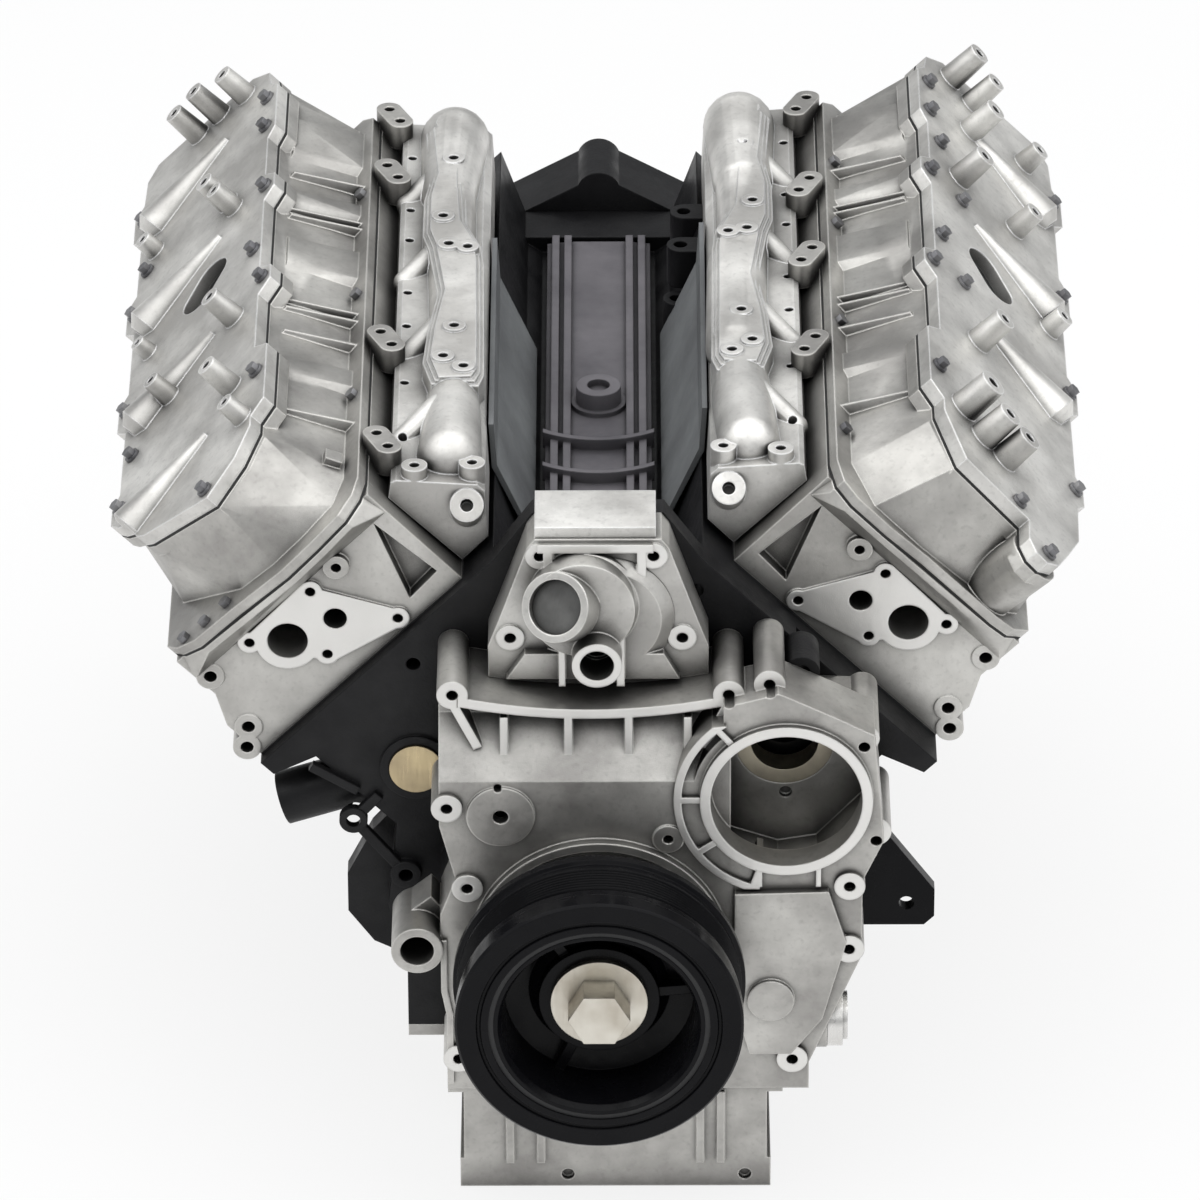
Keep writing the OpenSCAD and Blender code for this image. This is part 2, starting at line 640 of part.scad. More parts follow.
// Curved rib across the valley cover
module valley_rib(y) {
    intersection() {
        ring_rib(y);
        translate([-44, y - 60, valley_floor_z + 8]) cube([88, 80, 18]);
    }
}
module ring_rib(y) {
    difference() {
        rod_z(0, y + 70, 84, valley_floor_z + 8, valley_floor_z + 22);
        rod_z(0, y + 70, 79, valley_floor_z + 7, valley_floor_z + 23);
    }
}

module valley_panels() {
    color("#6b6e70") for (side = [-1, 1]) mirror([side < 0 ? 1 : 0, 0, 0])
        slab(head_front(side) + 120, head_front(side) + 420)
            polygon([[49.3, valley_floor_z + 12], [53.3, valley_floor_z + 12], [82.3, 298], [84.5, 336],
                [80.5, 336], [78.3, 300]]);
}

// Front cover and what sits on it
// Bolt bosses of the front cover: those that reach the block, and those that stop at the pad
deep_bosses = [[-111, 219], [99, 219], [130, 228], [202, 180], [212, 96]];
pad_bosses = [[192, 57], [192, 0], [149, -101], [-116, 128], [-101, 56], [-109, -100]];
front_outline = [[-122, 198], [-122, 110], [-110, 62], [-122, 30], [-122, -40], [-118, -60],
    [-118, -skirt_drop], [162, -skirt_drop], [162, -106], [202, -8], [202, 60], [218, 96], [210, 190],
    [180, 206], [140, 226], [122, 232], [100, 222], [-110, 222]];
pad_outline = [[-122, 198], [-122, 110], [-110, 62], [-122, 30], [-122, -40], [-118, -60],
    [-118, -skirt_drop], [162, -skirt_drop], [162, -106], [186, -20], [150, 32], [95, 36], [95, 198]];
gear_cavity = [[-112, 200], [-112, 110], [-100, 62], [-108, 30], [-108, -skirt_drop - 1],
    [152, -skirt_drop - 1], [152, -20], [124, 30], [95.4, 32], [95.4, 200]];
chamber_outline = [[95.5, 40], [135, 36], [176, 42], [214, 86], [214, 150], [196, 188], [95.5, 192]];
chamber = [[101, 58], [138, 45], [168, 50], [206, 92], [206, 146], [190, 180], [101, 184]];
shelf_z = 206;
// Width of the slot in the shelf for the cam gear's top
cam_slot_w = 148;
shelf_r = 465;
// Place in Y and Z of the coolant pipe on the right flank
spigot = [cover_face_y + 27, -80];
spigot_r = 19;
tube_left = [-140, 2];
tube_top = [-1, 246];
seal_r = nose_d / 2 + 14;
bearing_d = 76;
rear_wall_t = 8;

module front_cover() {
    wall_y = cover_face_y + front_wall;
    lean = 34;
    color("#b3b1ac") difference() {
        union() {
            slab(cover_face_y, pad_y) difference() {
                polygon(front_outline);
                translate([-6, shelf_z + shelf_r]) circle(r = shelf_r + 1, $fn = 240);
            }
            for (p = deep_bosses) rod_y(p.x, p.y, 12, boss_face_y, block_front_y);
            for (p = pad_bosses) rod_y(p.x, p.y, 12, boss_face_y, pad_y);
            translate([150, spigot.x, spigot.y]) rotate([0, 90, 0]) cylinder(r = spigot_r + 6, h = 26);
            slab(pad_y, block_front_y) polygon(chamber_outline);
            rod_y(pump_x, pump_z, pump_bore_d / 2 + 14, boss_face_y + 8, pad_y);
            rod_y(pump_x, pump_z, pump_bore_d / 2 + 8, pump_face_y, pad_y);
            rod_y(tube_left.x, tube_left.y, tube_bore_d / 2 + 7, cover_face_y - 8, pad_y);
            slab(cover_face_y + 20, pad_y) bar_xz([-118, 20], tube_left, 36);
            rod_y(0, 0, 99, cover_face_y - 8, cover_face_y + 1);
            rod_y(53, 99, 12, cover_face_y - 2, cover_face_y + 1);
            rod_y(-75, 120, 26, cover_face_y - 3, cover_face_y + 1);
            shelf();
            for (x = [-72, -23, 23, 68]) gusset(x, lean);
            for (x = [-111, 99]) side_web(x, lean);
        }
        // The wall leans back under the shelf
        difference() {
            lean_cut(-123, 218, [[cover_face_y - 1, 150], [cover_face_y - 1, 216], [cover_face_y + lean, 216],
                [cover_face_y + lean, 192], [cover_face_y, 150]]);
            shelf();
            for (x = [-72, -23, 23, 68]) gusset(x, lean);
            for (x = [-111, 99]) side_web(x, lean);
            rod_y(pump_x, pump_z, pump_bore_d / 2 + 14, cover_face_y - 1, pad_y);
            for (p = deep_bosses) rod_y(p.x, p.y, 12, boss_face_y, block_front_y);
        }
        // Gear space behind the wall
        difference() {
            slab(wall_y, pad_y + 1) polygon(gear_cavity);
            lean_cut(-200, 400, [[wall_y - 1, 140], [wall_y, 146], [wall_y + lean, 190], [wall_y + lean, 210],
                [wall_y - 1, 210]]);
            rod_y(pump_x, pump_z, pump_bore_d / 2 + front_wall, wall_y - 1, pump_face_y + 26 + front_wall);
        }
        rod_y(0, 0, 92, cover_face_y - 9, cover_face_y);
        // Slot for the top of the cam gear
        translate([-cam_slot_w / 2, gear_y - 3, 196]) cube([cam_slot_w, gear_w + 6, 20]);
        // Coolant pump chamber
        rod_y(pump_x, pump_z, pump_bore_d / 2, pump_face_y - 1, pump_face_y + 26);
        slab(pump_face_y + 24, block_front_y - rear_wall_t) polygon(chamber);
        rod_y(pump_x, pump_z, bearing_d / 2, block_front_y - rear_wall_t - 1, block_front_y + 1);
        rod_y(0, 0, seal_r, cover_face_y - 10, wall_y + 1);
        rod_y(tube_left.x, tube_left.y, tube_bore_d / 2, cover_face_y - 9, pad_y - 10);
        for (p = deep_bosses) rod_y(p.x, p.y, 4.5, boss_face_y - 14, block_front_y + 1);
        for (p = pad_bosses) rod_y(p.x, p.y, 4.5, boss_face_y - 14, pad_y + 1);
        translate([158, spigot.x, spigot.y]) rotate([0, 90, 0]) {
            cylinder(r = spigot_r + fit_gap, h = 40);
            translate([0, 0, 18]) cylinder(r = spigot_r + 5 + running_gap, h = 22);
        }
        rod_y(53, 99, 4, cover_face_y - 3, wall_y + 1);
        rod_y(-75, 120, 6, cover_face_y - 4, wall_y + 1);
        rod_y(-77, 145, 3, cover_face_y - 4, wall_y + 1);
        rod_y(pump_x + 1, pump_z - 46, 5, block_front_y - rear_wall_t - 1, block_front_y - 3);
    }
}

// Prism along X of an outline drawn in the Y-Z plane
module lean_cut(x0, len, pts) {
    translate([x0, 0, 0]) rotate([90, 0, 90]) linear_extrude(len) polygon(pts);
}

// Sagging shelf over the gear space, with a thin front lip
module shelf() {
    slab(boss_face_y, block_front_y) intersection() {
        translate([-6, shelf_z + shelf_r]) difference() {
            circle(r = shelf_r + 8, $fn = 240);
            circle(r = shelf_r, $fn = 240);
        }
        translate([-112, shelf_z - 10]) square([212, 34]);
    }
}

// Web from a corner boss down to the wall
module side_web(x, lean) {
    slab(boss_face_y, cover_face_y + lean + 2) bar_xz([x, 212], [x + (x < 0 ? 19 : -19), 172], 7);
}

// Tapered rib under the shelf's lip
module gusset(x, lean) {
    lean_cut(x - 3, 6, [[boss_face_y, 199], [cover_face_y + lean + 2, 199], [cover_face_y + lean + 2, 190],
        [cover_face_y + 2, 148], [boss_face_y, 164]]);
}

housing_face_y = block_front_y - gear_housing_depth;
housing_outline = sym([[48, housing_top], [54, 326], [76, 262], [84, 240], [84, shelf_z - 8]]);
housing_bolts = [[-44, 320], [42, 320], [-67, 248], [64, 248]];
module gear_housing() {
    color("#b9b7b2") difference() {
        union() {
            slab(housing_face_y, block_front_y) intersection() {
                polygon(housing_outline);
                translate([-6, shelf_z + shelf_r]) circle(r = shelf_r - 0.3, $fn = 240);
            }
            for (p = housing_bolts) rod_y(p.x, p.y, 11, housing_face_y - 2, block_front_y);
            rod_y(-12, 284, 40, housing_face_y - 22, housing_face_y + 1);
            translate([-24, housing_face_y - 16, 284]) rotate([62, 0, -24]) cylinder(r = 27, h = 24);
            rod_y(tube_top.x, tube_top.y, tube_bore_d / 2 + 6, housing_face_y - 40, block_front_y);
        }
        rod_y(tube_top.x, tube_top.y, tube_bore_d / 2, housing_face_y - 41, housing_face_y - 4);
        translate([-24, housing_face_y - 16, 284]) rotate([62, 0, -24]) translate([0, 0, 12])
            cylinder(r = 21, h = 13);
        for (p = housing_bolts) rod_y(p.x, p.y, 4.5, housing_face_y - 3, block_front_y + 1);
        slab(housing_face_y + 8, block_front_y + 1) polygon(sym([[36, 300], [60, 258], [66, shelf_z - 10]]));
    }
}

module gear_housing_plate() {
    color("#cfcdc8") translate([-48, housing_face_y + 2, housing_top + 0.2])
        cube([92, gear_housing_depth + 16, 9]);
}

module inlet_plug() {
    color("#8f8d88") translate([-24, housing_face_y - 16, 284]) rotate([62, 0, -24])
        translate([0, 0, 12]) cylinder(r = 20.8, h = 5);
}

module front_seal() {
    color("#222222") ring_y(0, 0, seal_r, nose_d / 2 + running_gap, cover_face_y - 6, cover_face_y + front_wall);
}

module core_plugs() {
    color("#b59b62") difference() {
        rod_y(plug_left.x, plug_left.y, core_plug_d / 2 - running_gap, block_front_y - 5, block_front_y + 7.8);
        rod_y(plug_left.x, plug_left.y, core_plug_d / 2 - 2.5, block_front_y - 2, block_front_y + 9);
    }
}

module pump_shaft_bearing() {
    color("#b5aa8e") ring_y(pump_x, pump_z, bearing_d / 2 - 0.05, 26, block_front_y - rear_wall_t, block_front_y + 14);
}

module mount_bracket() {
    y0 = block_front_y + 34;
    color("#202022") difference() {
        slab(y0, y0 + 12) polygon([[198, 60], [262, -28], [262, -52], [254, -60], [170, -60], [186, 0]]);
        rod_y(240, -40, 6, y0 - 1, y0 + 13);
    }
}

module coolant_pipe() {
    color("#bdbbb6") translate([158, spigot.x, spigot.y]) rotate([0, 90, 0]) difference() {
        union() {
            cylinder(r = spigot_r, h = 34);
            translate([0, 0, 18.2]) cylinder(r = spigot_r + 5, h = 12);
        }
        translate([0, 0, -1]) cylinder(r = spigot_r - 4, h = 36);
    }
}

// Rear housing, oil pan
rear_outline = sym([[14, 262], [98, 216], [170, 150], [206, 60], [200, -50], [skirt_half_w + 6, -skirt_drop]]);
module rear_housing() {
    color("#161618") difference() {
        union() {
            slab(block_rear_y, rear_housing_y) polygon(rear_outline);
            rod_y(0, 254, 18, block_rear_y, rear_housing_y);
        }
        slab(block_rear_y + 10, rear_housing_y + 1) polygon(sym([[20, 244], [92, 206], [160, 144], [194, 56],
            [188, -44], [skirt_half_w - 6, -skirt_drop + 12]]));
        rod_y(0, 0, flange_d / 2 + 13, block_rear_y - 1, rear_housing_y + 1);
        rod_y(0, 254, 6, rear_housing_y - 30, rear_housing_y + 1);
    }
}

module rear_seal() {
    color("#3a2a22") ring_y(0, 0, flange_d / 2 + 13, flange_d / 2 + running_gap, block_rear_y, block_rear_y + 10);
}

pan_front_y = block_front_y - 84;
pan_foot_half_w = 118;
pan_x = 12;
module oil_pan() {
    z1 = -skirt_drop;
    z0 = -skirt_drop - pan_h;
    color("#bcbab5") difference() {
        union() {
            slab(pan_front_y, block_rear_y) translate([pan_x, 0])
                polygon(sym([[pan_foot_half_w + 12, z1], [pan_foot_half_w + 12, z1 - 8], [pan_foot_half_w, z1 - 8],
                    [pan_foot_half_w, z0 + 26], [pan_foot_half_w + 3, z0 + 26], [pan_foot_half_w + 3, z0]]));
            slab(block_front_y, block_rear_y) polygon(sym([[skirt_half_w, z1], [skirt_half_w, z1 - 10], [100, z1 - 10]]));
            for (x = [-70, -46, 78, 94]) translate([x - 3, pan_front_y - 4, z0 + 24]) cube([6, 6, pan_h - 30]);
        }
        slab(pan_front_y + pan_wall, block_rear_y - pan_wall) translate([pan_x, 0])
            polygon(sym([[pan_foot_half_w - pan_wall, z1 + 1], [pan_foot_half_w - pan_wall, z0 + pan_wall]]));
        for (x = [-25, 113]) rod_y(x, z0 + 11, 5, pan_front_y - 1, pan_front_y + pan_wall - 1);
    }
}

pump_back_y = gear_y - 4;
pump_front_y = cover_face_y + front_wall;
rotor_len = pump_back_y - pump_front_y - 10;
module oil_pump_housing() {
    color("#9d9b96") difference() {
        slab(pump_front_y, pump_back_y) union() {
            translate([oil_x, oil_z]) circle(r = 28);
            translate([oil_x, oil_z - rotor_gap]) circle(r = 28);
            translate([oil_x - 28, oil_z - rotor_gap]) square([56, rotor_gap]);
        }
        for (z = [oil_z, oil_z - rotor_gap])
            rod_y(oil_x, z, gear_m * rotor_teeth / 2 + gear_m, pump_front_y - 1, pump_back_y - 8);
        rod_y(oil_x, oil_z, 9 + running_gap, pump_front_y, pump_back_y + 1);
        rod_y(oil_x, oil_z - rotor_gap, 7 + running_gap, pump_front_y, pump_back_y + 1);
    }
}

// Suction bell and its pipe down from the oil pump
module oil_pickup() {
    y = pump_front_y + 27;
    run = 54;
    top = oil_z - rotor_gap - 28 - running_gap;
    low = -skirt_drop - pan_h + pan_wall + 5;
    color("#55565a") {
        rod_z(oil_x, y, 9, low + 24, top);
        rod_y(oil_x, low + 33, 9, y, y + run);
        rod_z(oil_x, y + run, 12, low + 18, low + 33);
        difference() {
            rod_z(oil_x, y + run, 34, low, low + 18);
            rod_z(oil_x, y + run, 30, low - 1, low + 14);
        }
    }
}

// Rotating parts
module crankshaft() {
    pin_len = 58;
    web_t = (bore_pitch - bulkhead_t - pin_len) / 2 - 2;
    color("#77767a") difference() {
        union() {
            for (k = [0:4]) rod_y(0, 0, main_d / 2, main_y(k) - bulkhead_t / 2 - 3, main_y(k) + bulkhead_t / 2 + 3);
            for (k = [0:3]) {
                rotate([0, pin_dirs[k], 0]) {
                    rod_y(0, crank_r, pin_d / 2, bay_y(k) - pin_len / 2, bay_y(k) + pin_len / 2);
                    for (s = [-1, 1]) {
                        yc = bay_y(k) + s * (pin_len + web_t) / 2;
                        slab(yc - web_t / 2 - 0.1, yc + web_t / 2) crank_web();
                    }
                }
            }
            rod_y(0, 0, nose_d / 2, nose_end_y, main_y(0));
            rod_y(0, 0, main_d / 2, main_y(4), block_rear_y + 2);
            rod_y(0, 0, flange_d / 2, block_rear_y + 1, 0);
        }
        rod_y(0, 0, pilot_d / 2, -22, 1);
        for (i = [0:7]) rotate([0, i * 45, 0]) rod_y(0, flange_pcd / 2, flange_hole_d / 2, -24, 1);
        rod_y(0, 0, 9, nose_end_y - 1, nose_end_y + 60);
    }
}

module crank_web() {
    intersection() {
        circle(r = web_sweep);
        union() {
            translate([0, crank_r]) circle(r = pin_d / 2 + 3);
            polygon([[-44, 0], [44, 0], [34, crank_r + 8], [-34, crank_r + 8]]);
            circle(r = main_d / 2 + 6);
            polygon([[-web_sweep, -web_sweep], [web_sweep, -web_sweep], [web_sweep, -24], [44, 0], [-44, 0], [-web_sweep, -24]]);
        }
    }
}

module crank_gear() {
    color("#8b8a86") difference() {
        slab(gear_y, gear_y + gear_w) polygon(gear_pts(crank_teeth, 90));
        rod_y(0, 0, nose_d / 2, gear_y - 1, gear_y + gear_w + 1);
    }
}

module damper_ring() {
    r0 = rubber_d / 2;
    color("#121214") translate([0, damper_rear_y, 0]) rotate([90, 0, 0]) rotate_extrude($fn = 96)
        polygon(concat([[r0, 0], [damper_flange_d / 2, 0], [damper_flange_d / 2, 6], [damper_d / 2 - 1, 8]],
            [for (i = [0:7]) for (j = [0:1]) [damper_d / 2 - (j == 0 ? 1 : 4.2), 14 + i * 3.56 + j * 1.78]],
            [[damper_d / 2 - 1, 44], [damper_d / 2 - 1, 50], [damper_d / 2, 52],
                [damper_d / 2, damper_depth - 2], [damper_d / 2 - 2, damper_depth],
                [94, damper_depth], [93, damper_depth - 2], [91, damper_depth - 2], [90, damper_depth], [r0, damper_depth]]));
}

module damper_rubber() {
    color("#0c0c0c") ring_y(0, 0, rubber_d / 2, rubber_d / 2 - rubber_t, damper_front_y + 1.5, damper_rear_y - 4);
}

module damper_hub() {
    r1 = rubber_d / 2 - rubber_t;
    color("#161618") difference() {
        union() {
            translate([0, damper_rear_y, 0]) rotate([90, 0, 0]) rotate_extrude($fn = 96)
                polygon([[nose_d / 2, 0], [r1, 0], [r1, damper_depth - 1], [r1 - 3, damper_depth - 1],
                    [r1 - 6, damper_depth - 6], [r1 - 8, 16], [54, 12], [46, 18], [46, damper_depth - dish_depth],
                    [nose_d / 2, damper_depth - dish_depth]]);
            for (a = [5, 125, 245]) rotate([0, -a, 0]) translate([40, damper_rear_y - 24, -4])
                cube([r1 - 44, 14, 8]);
        }
    }
}

module crank_washer() {
    color("#a39c8c") ring_y(0, 0, washer_d / 2, 9.5, hub_face_y - 5, hub_face_y);
}

module crank_bolt() {
    color("#8f8c84") {
        translate([0, hub_face_y - 5, 0]) rotate([90, 0, 0]) cylinder(d = bolt_af / cos(30), h = bolt_head_h, $fn = 6);
        rod_y(0, 0, 9, hub_face_y - 5, nose_end_y + 50);
    }
}

module camshaft() {
    lobe_r = 20;
    color("#7d7c7a") {
        rod_y(0, cam_z, 15, gear_y + gear_w, block_rear_y - 40);
        rod_y(0, cam_z, cam_journal_r, block_front_y + 2, block_front_y + 16);
        for (k = [0:4]) rod_y(0, cam_z, cam_journal_r, main_y(k) - 13, main_y(k) + 13);
        for (k = [0:3]) for (i = [0:3]) {
            y = bay_y(k) - 36 + i * 24;
            a = pin_dirs[k] / 2 + i * 97;
            slab(y - 8, y + 8) translate([0, cam_z]) rotate(a) {
                circle(r = lobe_r - 2);
                translate([0, 14]) circle(r = lobe_r - 10);
                polygon([[-17, 6], [17, 6], [9, 18], [-9, 18]]);
            }
        }
        rod_y(0, cam_z, 22, gear_y + gear_w, block_front_y - 2);
    }
}

module cam_gear() {
    color("#8b8a86") difference() {
        slab(gear_y, gear_y + gear_w) translate([0, cam_z]) polygon(gear_pts(cam_teeth, 90 + 180 / cam_teeth));
        for (i = [0:5]) rotate_about_cam(i * 60) rod_y(0, cam_z + 54, 15, gear_y - 1, gear_y + gear_w + 1);
        ring_y(0, cam_z, 78, 26, gear_y - 1, gear_y + 5);
        rod_y(0, cam_z, 7, gear_y - 1, gear_y + gear_w + 1);
    }
}
module rotate_about_cam(a) {
    translate([0, 0, cam_z]) rotate([0, a, 0]) translate([0, 0, -cam_z]) children();
}

module cam_gear_bolt() {
    color("#48484a") {
        rod_y(0, cam_z, 7, gear_y, gear_y + gear_w);
        translate([0, gear_y, cam_z]) rotate([90, 0, 0]) cylinder(r = 13, h = 9, $fn = 6);
    }
}

module oil_pump_gear() {
    color("#8b8a86") {
        slab(gear_y, gear_y + gear_w) translate([oil_x, oil_z])
            polygon(gear_pts(pump_teeth, pump_dir + 180 + 180 / pump_teeth));
        rod_y(oil_x, oil_z, 9, pump_back_y - 9, gear_y + 1);
        slab(pump_back_y - 8 - rotor_len, pump_back_y - 8.5) translate([oil_x, oil_z]) polygon(gear_pts(rotor_teeth, 90, rotor_play));
    }
}

module oil_pump_idler() {
    color("#8b8a86") {
        slab(pump_back_y - 8 - rotor_len, pump_back_y - 8.5)
            translate([oil_x, oil_z - rotor_gap]) polygon(gear_pts(rotor_teeth, 90 + 180 / rotor_teeth, rotor_play));
        rod_y(oil_x, oil_z - rotor_gap, 7, pump_back_y - 9, pump_back_y - 0.5);
    }
}

// Piston with its rings and gudgeon pin
module piston(n) {
    side = n % 2 == 0 ? 1 : -1;
    k = floor((n - 1) / 2);
    tp = piston_t(side, k);
    y = cyl_y(side, k);
    r = bore_r - running_gap;
    skirt = 23;
    color("#a8a6a2") on_bank(side) translate([0, y, tp]) {
        difference() {
            translate([0, 0, -skirt]) cylinder(r = r, h = comp_h + skirt);
            translate([0, 0, -skirt - 1]) cylinder(r = r - 8, h = skirt + 20);
            rotate([90, 0, 0]) translate([0, 0, -bore_r]) cylinder(r = 16 + fit_gap, h = bore_d);
            for (z = [comp_h - 12, comp_h - 20, comp_h - 28]) translate([0, 0, z]) ring_groove(r);
            translate([0, 0, comp_h + 14]) sphere(r = 26);
        }
        for (z = [comp_h - 12, comp_h - 20, comp_h - 28]) translate([0, 0, z]) difference() {
            translate([0, 0, fit_gap]) cylinder(r = r + 0.1, h = 2.5 - 2 * fit_gap);
            translate([0, 0, -1]) cylinder(r = r - 4 + fit_gap, h = 5);
        }
        rotate([90, 0, 0]) translate([0, 0, -bore_r + 9]) cylinder(r = 16, h = bore_d - 18);
    }
}
module ring_groove(r) {
    difference() {
        cylinder(r = r + 1, h = 2.5);
        translate([0, 0, -1]) cylinder(r = r - 4, h = 5);
    }
}
module piston_1() {
    piston(1);
}
module piston_2() {
    piston(2);
}
module piston_3() {
    piston(3);
}
module piston_4() {
    piston(4);
}
module piston_5() {
    piston(5);
}
module piston_6() {
    piston(6);
}
module piston_7() {
    piston(7);
}
module piston_8() {
    piston(8);
}

engine_block();
main_bearing_caps();
main_bearings();
main_cap_bolts();
cam_bearings();
cylinder_head_left();
cylinder_head_right();
head_gaskets();
lower_valve_cover_left();
lower_valve_cover_right();
lower_cover_gaskets();
upper_valve_cover_left();
upper_valve_cover_right();
upper_cover_gaskets();
intake_manifold_left();
intake_manifold_right();
manifold_clamps();
valley_cover();
valley_panels();
front_cover();
gear_housing();
gear_housing_plate();
front_seal();
rear_housing();
rear_seal();
oil_pan();
core_plugs();
inlet_plug();
pump_shaft_bearing();
mount_bracket();
cover_bolts();
oil_pump_housing();
oil_pickup();
coolant_pipe();
crankshaft();
crank_gear();
damper_hub();
damper_rubber();
damper_ring();
crank_washer();
crank_bolt();
camshaft();
cam_gear();
cam_gear_bolt();
oil_pump_gear();
oil_pump_idler();
piston_1();
piston_2();
piston_3();
piston_4();
piston_5();
piston_6();
piston_7();
piston_8();
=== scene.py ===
import json
import math

import bmesh
import bpy
from mathutils import Matrix, Vector


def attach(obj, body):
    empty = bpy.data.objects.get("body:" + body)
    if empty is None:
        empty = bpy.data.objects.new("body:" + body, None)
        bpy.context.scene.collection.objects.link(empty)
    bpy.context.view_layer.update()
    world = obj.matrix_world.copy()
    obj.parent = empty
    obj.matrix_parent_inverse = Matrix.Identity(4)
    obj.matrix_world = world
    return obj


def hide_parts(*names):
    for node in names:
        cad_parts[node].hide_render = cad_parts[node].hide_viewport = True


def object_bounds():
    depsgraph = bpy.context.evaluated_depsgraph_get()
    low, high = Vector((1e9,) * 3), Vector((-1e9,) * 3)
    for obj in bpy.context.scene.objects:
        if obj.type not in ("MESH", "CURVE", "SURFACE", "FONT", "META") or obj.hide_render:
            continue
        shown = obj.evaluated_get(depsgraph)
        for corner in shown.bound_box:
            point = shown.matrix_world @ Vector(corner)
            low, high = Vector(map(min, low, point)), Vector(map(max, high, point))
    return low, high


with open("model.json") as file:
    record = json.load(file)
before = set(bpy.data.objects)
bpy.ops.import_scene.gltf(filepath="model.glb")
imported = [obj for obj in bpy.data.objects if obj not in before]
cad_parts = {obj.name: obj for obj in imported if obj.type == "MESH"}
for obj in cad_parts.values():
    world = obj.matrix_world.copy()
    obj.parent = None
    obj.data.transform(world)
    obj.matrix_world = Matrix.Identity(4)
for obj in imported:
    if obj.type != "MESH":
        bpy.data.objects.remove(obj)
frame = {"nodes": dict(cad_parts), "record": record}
cad_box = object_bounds()

scene = bpy.context.scene
scene.view_settings.view_transform = "Standard"


# Camera, solved from the photograph's lines and circles, in metres and radians
CAMERA_PLACE = Vector((0.01613, -7.13063, 4.06728))
CAMERA_YAW = -0.00231
CAMERA_DIP = 0.53712
CAMERA_ROLL = -0.0038
CAMERA_SIGHT = 60.0
FOCAL_PIXELS = 9749.58
PHOTO_PIXELS = 1200
SENSOR_MM = 36.0


def make_camera():
    ahead = Vector((math.sin(CAMERA_YAW) * math.cos(CAMERA_DIP),
                    math.cos(CAMERA_YAW) * math.cos(CAMERA_DIP), -math.sin(CAMERA_DIP)))
    level = Vector((math.cos(CAMERA_YAW), -math.sin(CAMERA_YAW), 0.0))
    rise = level.cross(ahead)
    right = level * math.cos(CAMERA_ROLL) + rise * math.sin(CAMERA_ROLL)
    up = -level * math.sin(CAMERA_ROLL) + rise * math.cos(CAMERA_ROLL)
    data = bpy.data.cameras.new("camera")
    data.sensor_width = SENSOR_MM
    data.lens = FOCAL_PIXELS / PHOTO_PIXELS * SENSOR_MM
    data.clip_end = CAMERA_SIGHT
    camera = bpy.data.objects.new("camera", data)
    turn = Matrix((right, up, -ahead)).transposed().to_4x4()
    camera.matrix_world = Matrix.Translation(CAMERA_PLACE) @ turn
    scene.collection.objects.link(camera)
    scene.camera = camera


make_camera()


# The materials find edges and front faces by cosines, and milled levels by metres along Y
EDGE_COSINES = (0.995, 0.88)
FRONT_FACING = -0.97
LEVEL_REACH = 0.0004
EDGE_SAMPLES = 4
HOLLOW_SAMPLES = 6


def is_socket(value):
    return isinstance(value, bpy.types.NodeSocket)


# Every channel of a colour times the same factor
def scaled(color, factor):
    return tuple(factor * c for c in color)


